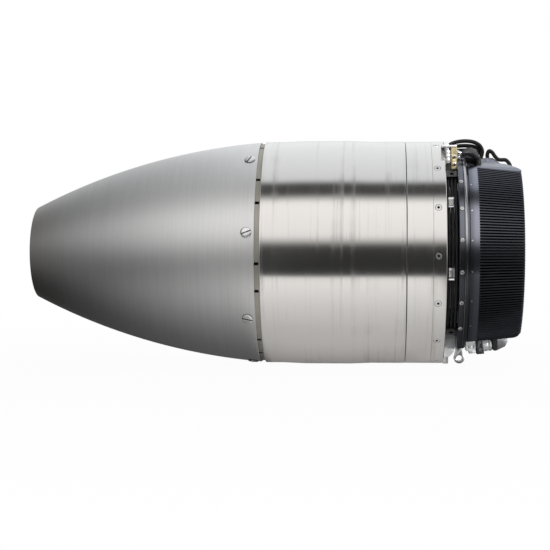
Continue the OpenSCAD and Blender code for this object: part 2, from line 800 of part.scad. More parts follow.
function blade_ring(t, start) = let (h = hub_pt(t), p = tip_pt(t), a = wrap(t) + start,
    hx = h[0] - blade_sink * sin(90 * t), hr = h[1] - blade_sink * cos(90 * t),
    dh = blade_hub_t / 2 / hr * 180 / PI, dp = blade_tip_t / 2 / p[1] * 180 / PI)
    [on_axis(hx, hr, a + dh), on_axis(p[0], p[1], a + dp),
        on_axis(p[0], p[1], a - dp), on_axis(hx, hr, a - dh)];

// The curved blades are lofted along the hub and the cover line by the laws above
module compressor_wheel() {
    boss_r = shaft_r + 1;
    pitch = 360 / blade_count;
    color([0.8, 0.81, 0.83])
        union() {
            turned(concat([for (i = [0:14]) hub_pt(i / 14)],
                [[wheel_x0, wheel_rim_r], [wheel_back, wheel_rim_r], [wheel_back, boss_r + 11],
                    [wheel_back - 1, boss_r + 8], [front_brg_x1 + 4, boss_r + 3], [front_brg_x1, boss_r],
                    [front_brg_x1, seat_r + fit / 2], [ind_x, seat_r + fit / 2]]));
            for (i = [0:blade_count - 1]) {
                loft([for (k = [0:16]) blade_ring(k / 16, i * pitch)]);
                loft([for (k = [0:10]) blade_ring(split_t + (1 - split_t) * k / 10, (i + 0.5) * pitch)]);
            }
        }
}

module compressor_nut() {
    color([0.55, 0.56, 0.58])
        translate([ind_x, 0, 0])
            rotate([0, 90, 0])
                difference() {
                    union() {
                        cylinder(r = hub_r - 2, h = 1.6);
                        cylinder(r = 13.2, h = 7, $fn = 6);
                    }
                    translate([0, 0, -1])
                        cylinder(r = seat_r + fit / 2, h = 10);
                }
}

module shaft() {
    brg = bearing_bore - fit / 2;
    color([0.62, 0.63, 0.65])
        turned([[rear_brg_x0, 0], [rear_brg_x0, brg], [rear_brg_x1, brg], [rear_brg_x1, shaft_r],
            [front_brg_x0, shaft_r], [front_brg_x0, brg], [front_brg_x1, brg], [front_brg_x1, seat_r],
            [ind_x + 8, seat_r], [ind_x + 9, stub_r], [rotor_x1 + 2, stub_r], [rotor_x1 + 2, 0]]);
}

module turbine_wheel() {
    mid = (turb_x0 + turb_x1) / 2;
    rim = root_r - 7;
    color([0.5, 0.46, 0.42])
        union() {
            turned([[turb_x0 - 2, 0], [turb_x0 - 2, 10], [turb_x0 + 1, 18], [turb_x0 + 5, 22],
                [turb_x0 + 5.5, rim - 3], [turb_x0 + 0.5, rim], [turb_x0 + 0.5, root_r],
                [turb_x1 - 0.5, root_r], [turb_x1 - 0.5, rim], [turb_x1 - 5.5, rim - 3],
                [turb_x1 - 5, 22], [turb_x1, shaft_r + 2], [rear_brg_x0, shaft_r], [rear_brg_x0, 0]]);
            for (i = [0:turbine_blades - 1])
                at_angle(i * 360 / turbine_blades, mid)
                    loft([for (k = [0:3]) let (s = k / 3, z = root_r - 1.2 + (turbine_r - root_r + 1.2) * s)
                        [for (p = foil(15.6, 4.4 - 2.4 * s, 3 - 1.4 * s, 14 + 28 * s)) [p[0], p[1], z]]]);
        }
}

module starter_rotor() {
    color([0.35, 0.35, 0.37])
        tube_x(rotor_x0, rotor_x1, rotor_r, stub_r + fit / 2);
}

// Intake

module intake_duct() {
    mid_r = intake_r + flare_r;
    inner = flare_r - duct_wall;
    color([0.16, 0.16, 0.17])
        turned(concat([[duct_x0, intake_r]],
            [for (i = [0:16]) [flare_x0 + flare_r * sin(90 * i / 16), mid_r - flare_r * cos(90 * i / 16)]],
            [[mouth_x, lip_r - 1], [mouth_x - 1, lip_r], [mouth_x - duct_wall, lip_r]],
            [for (i = [16:-1:0]) [flare_x0 + inner * sin(90 * i / 16), mid_r - inner * cos(90 * i / 16)]],
            [[duct_x0, duct_r]]));
}

module starter_housing() {
    strut_x0 = nacelle_x0 + 2;
    strut_x1 = flare_x0 - 2;
    color([0.2, 0.2, 0.21])
        union() {
            turned([[nacelle_x0, stub_r + 2], [nacelle_x0, nacelle_r - 4], [nacelle_x0 + 4, nacelle_r],
                [nacelle_x1, nacelle_r], [nacelle_x1, stator_r + fit], [nacelle_x0 + 4, stator_r + fit],
                [nacelle_x0 + 4, stub_r + 2]]);
            for (i = [0:strut_count - 1])
                at_angle(45 + i * 360 / strut_count, (strut_x0 + strut_x1) / 2)
                    translate([0, 0, nacelle_r - 1])
                        linear_extrude(intake_r - nacelle_r + 0.9)
                            polygon(foil(strut_x1 - strut_x0, 0, 3, 0));
        }
}

module starter_stator() {
    color([0.6, 0.36, 0.2])
        difference() {
            tube_x(rotor_x0 - 2, rotor_x1 + 2, stator_r, rotor_r + 0.8);
            for (i = [0:8])
                at_angle(40 * i)
                    translate([rotor_x0 - 3, -1.5, rotor_r - 1])
                        cube([rotor_x1 - rotor_x0 + 6, 3, 8]);
        }
}

module nose_cap() {
    nose = cover_x1 - 1 - nacelle_x1;
    wall = 2;
    color([0.13, 0.13, 0.14])
        turned(concat(
            [for (i = [0:12]) [nacelle_x1 + nose * sin(90 * i / 12), nacelle_r * cos(90 * i / 12)]],
            [for (i = [12:-1:0])
                [nacelle_x1 + (nose - wall) * sin(90 * i / 12), (nacelle_r - wall) * cos(90 * i / 12)]]));
}

// Front cover

// Slab between the tapered roof and belly planes, shrunk by a margin
module flat_slab(margin, y0, y1) {
    a = cover_x0 - 1;
    b = cover_x1 + 1;
    translate([0, y1, 0])
        rotate([90, 0, 0])
            linear_extrude(y1 - y0)
                polygon([[a, margin - flat_h(a)], [cover_x1 - 2.4, margin - flat_h(cover_x1 - 2.4)],
                    [b, margin + 3.1 - flat_h(b)], [b, flat_h(b) - margin], [a, flat_h(a) - margin]]);
}

module cover_flange() {
    edge = flange_x0 + 5.5;
    seat = flange_r - 8;
    color([0.1, 0.1, 0.11])
        difference() {
            intersection() {
                turned([[flange_x0, neck_r + fit], [flange_x0, flange_r - 0.6], [flange_x0 + 0.6, flange_r],
                    [edge, flange_r], [edge + 0.3, flange_r - 0.7], [edge + 0.8, flange_r - 0.2],
                    [flange_x1 - 1, flange_r - 0.9], [flange_x1, flange_r - 2.4], [flange_x1, seat],
                    [cover_x0, seat], [cover_x0, shell_bore + 1], [flange_x0 + 3.5, shell_bore + 1],
                    [flange_x0 + 3.5, neck_r + fit]]);
                translate([flange_x0 - 1, -200, -flange_flat])
                    cube([flange_len + 10, 400, 2 * flange_flat]);
            }
            for (s = [0, 180])
                for (a = rim_screw_angles)
                    at_angle(s + a, rim_screw_x)
                        translate([0, 0, flange_r - 2])
                            cylinder(r = rim_screw_r + fit, h = 6);
            for (y = cable_y)
                translate([flange_x0 - 1, y, flange_flat - cable_drop])
                    rotate([0, 90, 0])
                        cylinder(r = cable_r + fit, h = 6);
        }
}

module flange_screws() {
    color([0.85, 0.85, 0.86])
        for (s = [0, 180])
            for (a = rim_screw_angles)
                at_angle(s + a, rim_screw_x)
                    translate([0, 0, flange_r - 2])
                        difference() {
                            union() {
                                cylinder(r = rim_screw_r, h = 2.5);
                                translate([0, 0, 2.5])
                                    cylinder(r1 = rim_screw_r, r2 = rim_screw_r - 0.4, h = 0.4);
                            }
                            translate([0, 0, 1.6])
                                cylinder(r = 1, h = 3, $fn = 6);
                        }
}

// Comb that cuts the grooves between the fins; s is the side, -1 near and 1 far
module fin_comb(s) {
    turn = fin_pitch / cover_r * 180 / PI;
    half = asin((flat_h(fin_x0) - 1.2) / cone_r(fin_x0));
    n = floor(half / turn);
    far_r = cover_r + 6;
    teeth = [for (i = [-n:n]) let (a = i * turn, w0 = asin(fin_slot / 2 / fin_floor_r),
        w1 = asin(fin_slot / 2 / (cover_r + 2)))
        [[cover_r + 2, a - w1], [fin_floor_r, a - w0], [fin_floor_r, a + w0], [cover_r + 2, a + w1]]];
    back = [for (i = [12:-1:0]) [far_r, (i / 6 - 1) * (n + 0.5) * turn]];
    line = concat([for (tooth = teeth) for (p = tooth) p], back);
    translate([fin_x0, 0, 0])
        rotate([0, 90, 0])
            linear_extrude(cover_len)
                polygon([for (p = line) [-p[0] * sin(p[1]), s * p[0] * cos(p[1])]]);
}

// The finned half shell: cone, flats and a comb of computed grooves
module fin_shell(s) {
    edge = 3.6;
    nose_r = cone_r(cover_x1);
    color([0.07, 0.07, 0.08])
        difference() {
            intersection() {
                turned([[cover_x0, shell_bore], [cover_x0, cover_r - 0.5], [cover_x0 + 0.5, cover_r],
                    [cover_x1 - edge, cone_r(cover_x1 - edge)],
                    [cover_x1 - 0.35 * edge, nose_r - 0.12 * edge], [cover_x1, nose_r - 0.6 * edge],
                    [cover_x1, shell_bore]]);
                flat_slab(0, s < 0 ? -200 : 0, s < 0 ? 0 : 200);
            }
            fin_comb(s);
            for (a = rim_screw_angles)
                at_angle((s < 0 ? 0 : 180) + a, set_screw_x)
                    translate([0, 0, cone_r(set_screw_x) - 3])
                        cylinder(r = set_screw_r + fit, h = 6);
        }
}

module left_fin_shell() {
    fin_shell(1);
}

module right_fin_shell() {
    fin_shell(-1);
}

module cover_cone() {
    turned([[cover_x0, 0], [cover_x0, cover_r], [cover_x1, cone_r(cover_x1)], [cover_x1, 0]]);
}

module cover_roof() {
    drop_x = cover_x1 - 14;
    top = cover_flat + 60;
    color([0.12, 0.12, 0.13])
        difference() {
            union() {
                intersection() {
                    cover_cone();
                    translate([cover_x0, 0, cover_flat + roof_rise - crown_r])
                        rotate([0, 90 + flat_taper, 0])
                            translate([0, 0, -60])
                                cylinder(r = crown_r, h = cover_len + 120, $fn = 360);
                    translate([0, 100, 0])
                        rotate([90, 0, 0])
                            linear_extrude(200)
                                polygon([[cover_x0, flat_h(cover_x0)], [cover_x1, flat_h(cover_x1)],
                                    [cover_x1, flat_h(cover_x1) + 1.4], [cover_x1 - 2, flat_h(cover_x1) + 3],
                                    [drop_x, flat_h(drop_x) + roof_rise],
                                    [drop_x, top], [cover_x0, top]]);
                }
                translate([boss_x, cable_y[1], flat_h(boss_x) + 2])
                    cylinder(r1 = 13, r2 = 9, h = boss_z - flat_h(boss_x) - 2);
                translate([boss2_x, boss2_y, flat_h(boss2_x) + 2])
                    cylinder(r1 = 24, r2 = 5.6, h = boss2_z - flat_h(boss2_x) - 2);
            }
            for (y = cable_y)
                translate([boss_x, y, boss_z - 9])
                    cylinder(r = cable_r + fit, h = 20);
            translate([boss2_x, boss2_y, boss2_z - 9])
                cylinder(r = cable_r + fit, h = 20);
            translate([cover_x1 - 5, boss2_y, flat_h(cover_x1 - 5) + 1])
                cylinder(r = cable_r + fit, h = 30);
            for (y = bundle_y)
                translate([bundle_x, y + bundle_shift, flat_h(bundle_x) + 0.7])
                    cylinder(r = bundle_r + fit, h = 30);
        }
}

module cover_belly() {
    nose_x = cover_x1 - 2.4;
    color([0.1, 0.1, 0.11])
        intersection() {
            cover_cone();
            translate([0, 100, 0])
                rotate([90, 0, 0])
                    linear_extrude(200)
                        polygon([[cover_x0, -flat_h(cover_x0)], [nose_x, -flat_h(nose_x)],
                            [nose_x, -flat_h(nose_x) - 0.3 * belly_t],
                            [nose_x - 3, -flat_h(nose_x - 3) - 0.85 * belly_t],
                            [nose_x - 6, -flat_h(nose_x - 6) - belly_t],
                            [cover_x0, -flat_h(cover_x0) - belly_t]]);
        }
}

module front_plate() {
    color([0.1, 0.1, 0.11])
        difference() {
            intersection() {
                tube_x(plate_x0, plate_x1, shell_bore - 0.2, lip_r + fit);
                flat_slab(0.2, -200, 200);
            }
            for (a = [22.5:45:360])
                at_angle(a)
                    translate([plate_x0 - 1, 0, front_screw_pcd])
                        rotate([0, 90, 0])
                            cylinder(r = 1.5 + fit / 2, h = 9);
        }
}

// Front plate screws and the small set screws in the smooth band
module cover_screws() {
    color([0.5, 0.5, 0.52])
        union() {
            for (a = [22.5:45:360])
                at_angle(a)
                    translate([plate_x1, 0, front_screw_pcd])
                        rotate([0, 90, 0])
                            difference() {
                                union() {
                                    cylinder(r = 2.7, h = 1.8);
                                    translate([0, 0, plate_x0 - plate_x1])
                                        cylinder(r = 1.5, h = plate_x1 - plate_x0 + 0.5);
                                }
                                translate([0, 0, 0.6])
                                    cylinder(r = 1.3, h = 3, $fn = 6);
                            }
            for (s = [0, 180])
                for (a = rim_screw_angles)
                    at_angle(s + a, set_screw_x)
                        translate([0, 0, cone_r(set_screw_x) - 3])
                            cylinder(r = set_screw_r, h = 2.7);
        }
}

module control_board() {
    x = cover_x0 + 17;
    color([0.05, 0.25, 0.12])
        union() {
            intersection() {
                tube_x(x, x + 1.6, shell_bore - 4, duct_r + fit);
                translate([x - 1, -200, 12 - cover_flat])
                    cube([4, 400, 2 * cover_flat - 24]);
            }
            for (a = [-50, -25, 0, 25, 50, 130, 155, 180, 205, 230])
                at_angle(a, x + 1.2)
                    translate([0, -6, duct_r + 9])
                        cube([6, 12, 14]);
        }
}

// Bay

module bay_hoses() {
    color([0.05, 0.05, 0.055])
        union() {
            for (x = hose_x)
                sector(-hose_end, hose_end)
                    translate([hose_path_r, x])
                        circle(r = hose_r, $fn = 64);
            sector(180 - hose_end, 180 + hose_end)
                translate([hose_path_r, hose_x[1]])
                    circle(r = hose_r, $fn = 64);
        }
}

module hose_ports() {
    color([0.72, 0.72, 0.74])
        for (a = [port_phi, -port_phi, 180 - port_phi, 180 + port_phi])
            at_angle(a, ring_x1 + 0.4)
                difference() {
                    translate([0, -port_half, hose_path_r - 5])
                        cube([bay_len - 0.4, 2 * port_half, 9]);
                    translate([bay_len / 2, 0, hose_path_r + 2])
                        cylinder(r = 2, h = 4);
                }
}

module hose_clips() {
    t = 0.8;
    low = hose_path_r - hose_r - 0.3;
    high = hose_path_r + hose_r + 0.3;
    span = hose_x[1] + hose_r + 1.1 - ring_x1;
    color([0.8, 0.8, 0.82])
        for (a = concat(clip_angles, [for (c = clip_angles) 180 - c]))
            sector(a - 3.4, a + 3.4)
                union() {
                    translate([high, ring_x1])
                        square([t, span]);
                    translate([low - t, ring_x1])
                        square([t, span]);
                    translate([low - t, ring_x1])
                        square([rim_r - 1 - low, 0.4]);
                }
}

module mounting_lugs() {
    tilt = atan2(lug_y, lug_z);
    color([0.75, 0.75, 0.77])
        for (sy = [-1, 1])
            for (sz = [0, 180])
                rotate([sz, 0, 0])
                    translate([ring_x1, sy * lug_y, lug_z])
                        rotate([-sy * tilt, 0, 0])
                            rotate([90, 0, 90])
                                linear_extrude(lug_len)
                                    difference() {
                                        union() {
                                            circle(r = lug_r);
                                            polygon([[-lug_r, 0], [-lug_foot, -12], [-lug_foot, -16],
                                                [lug_foot, -16], [lug_foot, -12], [lug_r, 0]]);
                                        }
                                        circle(r = lug_hole_r);
                                    }
}

// Eye for lifting, under the flange's lower flat
module lifting_eye() {
    eye_x = flange_x0 + 4.4;
    eye_z = -flange_flat - 11.5;
    eye_r = 6;
    color([0.75, 0.75, 0.77])
        translate([0, -38, 0])
            rotate([90, 0, 0])
                difference() {
                    union() {
                        translate([eye_x, eye_z, 0])
                            cylinder(r = eye_r, h = 4);
                        linear_extrude(4)
                            polygon([[eye_x - 0.9 * eye_r, eye_z + 0.3 * eye_r],
                                [flange_x0 + 0.6, -flange_flat], [flange_x1 - 1.5, -flange_flat],
                                [eye_x + 0.9 * eye_r, eye_z + 0.3 * eye_r],
                                [eye_x + 0.8 * eye_r, eye_z + 0.05 * eye_r],
                                [eye_x - 0.8 * eye_r, eye_z + 0.05 * eye_r]]);
                    }
                    translate([eye_x, eye_z, -1])
                        cylinder(r = 3, h = 6);
                }
}

// Valve group on top of the bay

module valve_block() {
    color([0.62, 0.52, 0.3])
        difference() {
            translate([valve_x0, valve_y - valve_half, valve_z0])
                cube([valve_x1 - valve_x0, 2 * valve_half, valve_z1 - valve_z0]);
            for (z = [valve_z0 + 5, valve_z0 + 13])
                translate([(valve_x0 + valve_x1) / 2, valve_y - valve_half - 1, z])
                    rotate([-90, 0, 0])
                        cylinder(r = 1.2 + fit / 2, h = 6);
        }
}

module fuel_valve() {
    z0 = valve_z0 + 6.5;
    color([0.8, 0.8, 0.82])
        translate([can_x, valve_y - 4.6, z0])
            rotate_extrude()
                polygon([[0, 0], [can_r - 0.5, 0], [can_r - 0.5, 2], [can_r, 2], [can_r, 5],
                    [can_r - 0.6, 5], [can_r - 0.6, 6], [can_r, 6], [can_r, 9], [can_r - 0.6, 9],
                    [can_r - 0.6, 10], [can_r, 10], [can_r, 13], [1.6, 13], [1.6, 15], [0, 15]]);
}

module valve_bracket() {
    tab_z = valve_z1 - 8;
    reach = 3.4;
    color([0.82, 0.82, 0.84])
        union() {
            translate([ring_x1 - reach, valve_y - valve_half - 1.5, valve_z1])
                cube([bay_len + reach - 0.4, 2 * valve_half + 3, 2]);
            translate([ring_x1, valve_y + 1, tab_z])
                cube([1.6, valve_half + 0.5, valve_z1 - tab_z + 1]);
        }
}

module valve_fittings() {
    mid = (valve_x0 + valve_x1) / 2;
    color([0.86, 0.86, 0.87])
        union() {
            for (y = bundle_y)
                translate([valve_x1, y, bundle_z])
                    rotate([0, 90, 0])
                        union() {
                            cylinder(r = 3.2, h = 2.2, $fn = 6);
                            cylinder(r = 2, h = bundle_x0 - valve_x1 - 0.6);
                        }
            for (z = [valve_z0 + 5, valve_z0 + 13])
                translate([mid, valve_y - valve_half, z])
                    rotate([90, 0, 0])
                        union() {
                            cylinder(r = 2, h = 1.2);
                            translate([0, 0, -4])
                                cylinder(r = 1.2, h = 4.5);
                        }
        }
}

module harness_hoses() {
    color([0.05, 0.05, 0.055])
        for (i = [0:2])
            let (y0 = bundle_y[i], y1 = bundle_y[i] + bundle_shift, low = flat_h(bundle_x))
                cord([[bundle_x0, y0, bundle_z], [bundle_x0 + 4, y0, bundle_z + 0.4],
                    [bundle_x - 9, y0 + 0.2 * bundle_shift, bundle_z + 0.2],
                    [bundle_x - 3.6, y0 + 0.7 * bundle_shift, bundle_z - 3.4],
                    [bundle_x - 0.4, y1, low + 9.5], [bundle_x, y1, low + 5],
                    [bundle_x, y1, low + 1]], bundle_r, 3);
}

// Three cables arc from the roof back over the flange and into the bay
module power_cable() {
    top = flange_flat;
    low = flange_flat - cable_drop;
    color([0.05, 0.05, 0.055])
        for (i = [0:2])
            let (y = cable_y[i], rise = loop_rise[i])
                cord([[boss_x, y, boss_z - 8], [boss_x, y, boss_z - 3], [boss_x, y, boss_z + 1],
                    [boss_x + 1.1, y, max(top + 0.26 * rise, boss_z + 3)],
                    [boss_x + 1.4, y, top + 0.5 * rise], [boss_x - 1.5, y, top + 0.76 * rise],
                    [boss_x - 8, y, top + 0.94 * rise], [boss_x - 17.5, y, top + rise],
                    [boss_x - 27.5, y, top + 0.94 * rise], [loop_x + 4.4, y, top + 0.78 * rise],
                    [loop_x + 0.8, y, top + 0.5 * rise], [loop_x, y, top + 2], [loop_x, y, top - 2],
                    [loop_x + 1.6, y, low + 3.4], [loop_x + 5, y, low + 0.6], [flange_x0, y, low],
                    [flange_x0 + 3.2, y, low]], cable_r, 2);
}

module signal_cable() {
    x2 = cover_x1 - 5;
    z2 = flat_h(x2);
    y = boss2_y;
    color([0.05, 0.05, 0.055])
        cord([[boss2_x, y, boss2_z - 8], [boss2_x, y, boss2_z - 2], [boss2_x - 0.4, y, boss2_z + 4],
            [boss2_x + 1.6, y, boss2_z + 8], [boss2_x + 5, y, boss2_z + 6.4],
            [boss2_x + 8, y, boss2_z + 2.2], [boss2_x + 11.5, y, boss2_z - 1.4],
            [boss2_x + 15.5, y, boss2_z - 2], [boss2_x + 20, y, boss2_z - 2.2],
            [x2 - 1.8, y, z2 + 12], [x2, y, z2 + 7], [x2, y, z2 + 1.3]], cable_r, 3);
}

// Fuel pump under the belly, in the belly's own tilted plane

module under_belly() {
    translate([cover_x0, 0, -cover_flat - belly_t])
        rotate([0, -flat_taper, 0])
            children();
}

module pump_head() {
    color([0.78, 0.78, 0.8])
        under_belly()
            difference() {
                translate([pump_x0, pump_y - 13, -15.5])
                    cube([head_len, 26, 15.5]);
                for (x = [0.25, 0.75])
                    translate([pump_x0 + x * head_len, pump_y - 14, -8])
                        rotate([-90, 0, 0])
                            cylinder(r = 1.6, h = 4);
                translate([pump_x0 - 0.6, pump_y - 20, -19])
                    rotate([0, -45, 0])
                        cube([6, 40, 4]);
            }
}

module pump_strap() {
    color([0.12, 0.12, 0.13])
        under_belly()
            difference() {
                translate([strap_x, pump_y - 14, pump_z - pump_r - 1.6])
                    cube([strap_len, 28, pump_r + 1.6 - pump_z]);
                translate([strap_x - 1, pump_y, pump_z])
                    rotate([0, 90, 0])
                        cylinder(r = pump_r + fit, h = strap_len + 2);
                for (z = [-4, -12])
                    translate([strap_x + strap_len / 2, pump_y - 15, z])
                        rotate([-90, 0, 0])
                            cylinder(r = 1 + fit / 2, h = 4);
            }
}

module pump_motor() {
    color([0.8, 0.8, 0.82])
        under_belly()
            translate([motor_x, pump_y, pump_z])
                rotate([0, 90, 0])
                    rotate_extrude()
                        polygon([[0, 0], [pump_r, 0], [pump_r, motor_len - 5.5],
                            [pump_r - 0.5, motor_len - 5], [pump_r - 0.5, motor_len - 4],
                            [pump_r, motor_len - 3.5], [pump_r, motor_len - 1.5],
                            [pump_r - 1.5, motor_len], [0, motor_len]]);
}

module pump_plug() {
    x = motor_x + motor_len + 0.05;
    deep = pump_r - pump_z;
    color([0.06, 0.06, 0.065])
        under_belly()
            translate([x, pump_y + 8, 0])
                rotate([90, 0, 0])
                    linear_extrude(16)
                        polygon([[0, 0], [0, 0.6 - deep], [3, -deep], [13.5, 4 - deep],
                            [16.5, 9 - deep], [16.5, 0]]);
}

module pump_screws() {
    color([0.85, 0.85, 0.86])
        under_belly()
            for (z = [-4, -12])
                translate([strap_x + strap_len / 2, pump_y - 14, z])
                    rotate([90, 0, 0])
                        union() {
                            cylinder(r = 1.8, h = 1);
                            translate([0, 0, -2.6])
                                cylinder(r = 1, h = 3);
                        }
}

exhaust_nozzle();
nozzle_screws();
rear_flange();
jet_pipe();
tail_cone();
combustion_case();
case_front_ring();
case_screws();
guide_vanes();
outer_liner();
inner_liner();
liner_dome();
vaporiser_tubes();
fuel_ring();
igniter();
shaft_tunnel();
front_outer_race();
rear_outer_race();
preload_spring();
diffuser();
compressor_cover();
intake_duct();
starter_housing();
starter_stator();
nose_cap();
cover_flange();
flange_screws();
left_fin_shell();
right_fin_shell();
cover_roof();
cover_belly();
front_plate();
cover_screws();
control_board();
bay_hoses();
hose_ports();
hose_clips();
valve_block();
fuel_valve();
valve_bracket();
valve_fittings();
harness_hoses();
power_cable();
signal_cable();
pump_head();
pump_strap();
pump_motor();
pump_plug();
pump_screws();
mounting_lugs();
lifting_eye();
shaft();
compressor_wheel();
compressor_nut();
turbine_wheel();
starter_rotor();
front_inner_race();
rear_inner_race();
front_ball_set();
rear_ball_set();
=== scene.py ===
"""Looks of a small turbojet engine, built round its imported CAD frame.

Metres, with the engine axis on X and the intake at +X. Profiles and routes are given in millimetres.
"""

import math

import bmesh
import bpy
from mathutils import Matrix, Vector


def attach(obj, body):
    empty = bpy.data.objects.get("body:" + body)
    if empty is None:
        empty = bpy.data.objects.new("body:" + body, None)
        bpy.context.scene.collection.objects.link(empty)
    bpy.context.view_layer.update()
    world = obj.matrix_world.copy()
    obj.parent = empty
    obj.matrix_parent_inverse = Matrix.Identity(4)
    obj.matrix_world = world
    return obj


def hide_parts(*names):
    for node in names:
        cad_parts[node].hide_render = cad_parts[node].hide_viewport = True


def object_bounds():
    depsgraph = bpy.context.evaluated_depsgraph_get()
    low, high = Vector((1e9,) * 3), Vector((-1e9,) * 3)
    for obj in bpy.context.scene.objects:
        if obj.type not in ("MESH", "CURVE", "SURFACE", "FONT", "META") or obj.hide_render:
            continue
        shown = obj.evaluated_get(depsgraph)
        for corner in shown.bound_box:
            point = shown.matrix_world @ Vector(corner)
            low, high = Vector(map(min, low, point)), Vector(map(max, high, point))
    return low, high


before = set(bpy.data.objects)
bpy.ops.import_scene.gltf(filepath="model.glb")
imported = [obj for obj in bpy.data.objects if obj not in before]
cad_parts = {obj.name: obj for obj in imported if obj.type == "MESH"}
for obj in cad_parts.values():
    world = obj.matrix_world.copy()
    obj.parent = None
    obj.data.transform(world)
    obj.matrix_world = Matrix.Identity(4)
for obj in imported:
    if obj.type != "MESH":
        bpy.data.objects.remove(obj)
cad_box = [list(corner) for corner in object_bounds()]
scene = bpy.context.scene
mm = 0.001


# Node building

def rgba(colour):
    """A plain colour with its alpha; a node's colour stays as it is."""
    return (*colour, 1.0) if isinstance(colour, tuple) else colour


def both_ways(kind):
    """An operator that adds a Math node, and its reflected form."""
    def plain(self, other):
        return self.tree.math(kind, self, other)

    def reflected(self, other):
        return self.tree.math(kind, other, self)

    return plain, reflected


class Val:
    """A node's output that can be used in plain sums."""

    def __init__(self, tree, socket):
        self.tree = tree
        self.socket = socket

    def also(self, out):
        return Val(self.tree, self.socket.node.outputs[out])

    __add__, __radd__ = both_ways("ADD")
    __sub__, __rsub__ = both_ways("SUBTRACT")
    __mul__, __rmul__ = both_ways("MULTIPLY")
    __truediv__, __rtruediv__ = both_ways("DIVIDE")


class Tree:
    """Adds nodes to one node tree: settings first, then socket values or links."""

    def __init__(self, nodes):
        self.nodes = nodes

    def node(self, kind, settings=None, sockets=None, out=0):
        made = self.nodes.nodes.new(kind)
        for key, value in (settings or {}).items():
            if key == "stops":
                elements = made.color_ramp.elements
                while len(elements) < len(value):
                    elements.new(1.0)
                for element, (place, colour) in zip(elements, value):
                    element.position = place
                    element.color = rgba(colour)
            else:
                setattr(made, key, value)
        for key, value in (sockets or {}).items():
            if isinstance(value, Val):
                self.nodes.links.new(value.socket, made.inputs[key])
            else:
                made.inputs[key].default_value = value
        return Val(self, made.outputs[out] if len(made.outputs) else None)

    def math(self, kind, a, b=0.0):
        return self.node("ShaderNodeMath", {"operation": kind}, {0: a, 1: b})

    def clamped(self, value, low, high):
        return self.node("ShaderNodeMapRange", {"interpolation_type": "SMOOTHSTEP"},
                         {0: value, 1: low, 2: high, 3: 0.0, 4: 1.0})

    def mixed(self, factor, a, b):
        return self.node("ShaderNodeMix", {"data_type": "RGBA"},
                         {0: factor, 6: rgba(a), 7: rgba(b)}, out=2)

    def vec(self, x, y, z):
        return self.node("ShaderNodeCombineXYZ", None, {0: x, 1: y, 2: z})


class Finish(Tree):
    """One material, with shorthands for what metal and rubber finishes need."""

    def __init__(self, name):
        self.material = bpy.data.materials.new(name)
        self.material.use_nodes = True
        super().__init__(self.material.node_tree)
        self.nodes.nodes.clear()
        self.place = self.node("ShaderNodeTexCoord", out="Object")
        self.x = self.node("ShaderNodeSeparateXYZ", None, {0: self.place})
        self.y = self.x.also(1)
        self.z = self.x.also(2)

    def stretched(self, by):
        return self.node("ShaderNodeVectorMath", {"operation": "MULTIPLY"}, {0: self.place, 1: by})

    def grain(self, scale, stretch=(1, 1, 1), detail=3.0, rough=0.55):
        """Noise over Object coordinates, stretched per axis, from 0 to 1."""
        return self.node("ShaderNodeTexNoise", None, {"Vector": self.stretched(stretch), "Scale": scale,
                                                      "Detail": detail, "Roughness": rough})

    def handling(self, scale=700.0):
        """Fine scratches and broad dull patches, as small machined pieces have."""
        return self.grain(scale, (1, 1, 0.15), 3.0, 0.7), self.grain(60.0, detail=2.0)

    def angle(self):
        """Angle round the engine axis, in radians."""
        return self.math("ARCTAN2", self.z, self.y)

    def radius(self):
        return self.math("SQRT", self.y * self.y + self.z * self.z)

    def bump(self, height, depth, strength):
        return self.node("ShaderNodeBump", None,
                         {"Height": height, "Distance": depth, "Strength": strength})

    def surface(self, colour, rough, metal, normal, **fixed):
        sockets = {"Base Color": rgba(colour), "Roughness": rough, "Metallic": metal, "Normal": normal}
        sockets.update({key.replace("_", " "): value for key, value in fixed.items()})
        shader = self.node("ShaderNodeBsdfPrincipled", None, sockets)
        self.node("ShaderNodeOutputMaterial", None, {"Surface": shader})
        return self.material


# Finishes

def brushed_nozzle():
    """Sheet steel brushed round the nozzle while it turned, faintly straw coloured at the outlet."""
    f = Finish("nozzle_brushed_steel")
    fine = f.grain(1.0, (3000, 22, 22), 4.0, 0.6)
    broad = f.grain(1.0, (240, 6, 6), 3.0, 0.6)
    cloud = f.grain(9.0, detail=2.0)
    marks = fine * 0.75 + broad * 0.25
    tint_from, tint_to = -0.285, -0.345
    hot = f.clamped(f.x, tint_from, tint_to)
    steel = f.mixed(f.clamped(marks, 0.25, 0.75), (0.84, 0.84, 0.845), (0.97, 0.967, 0.96))
    steel = f.mixed(hot * 0.3, steel, (0.52, 0.46, 0.39))
    rough = 0.36 + 0.1 * marks + 0.04 * cloud
    return f.surface(steel, rough, 1.0, f.bump(marks, 0.00006, 0.35))


def polished_case():
    """Drum steel polished on the lathe: turning marks, shallow waves, dull smears, painted shade in the
    seams.
    """
    f = Finish("case_polished_steel")
    fine = f.grain(1.0, (2200, 8, 8), 3.0, 0.6)
    bands = f.grain(1.0, (150, 3, 3), 3.0, 0.65)
    smear = f.grain(16.0, (1, 1.6, 1.6), 3.0)
    waves = f.grain(1.0, (26, 9, 9), 1.0)
    dull = f.clamped(bands * 0.7 + smear * 0.3, 0.5, 0.75)
    steel = f.mixed(dull, (0.82, 0.805, 0.79), (0.66, 0.645, 0.63))
    # Painted shade: between these radii, in the seam groove, the steel turns near black.
    seam_top, seam_floor, seam_shade = 0.12355, 0.1231, (0.03, 0.03, 0.03)
    steel = f.mixed(f.clamped(f.radius(), seam_top, seam_floor), steel, seam_shade)
    rough = 0.11 + 0.09 * fine + 0.12 * dull
    return f.surface(steel, rough, 1.0, f.bump(waves * 0.8 + fine * 0.012, 0.0004, 0.13))


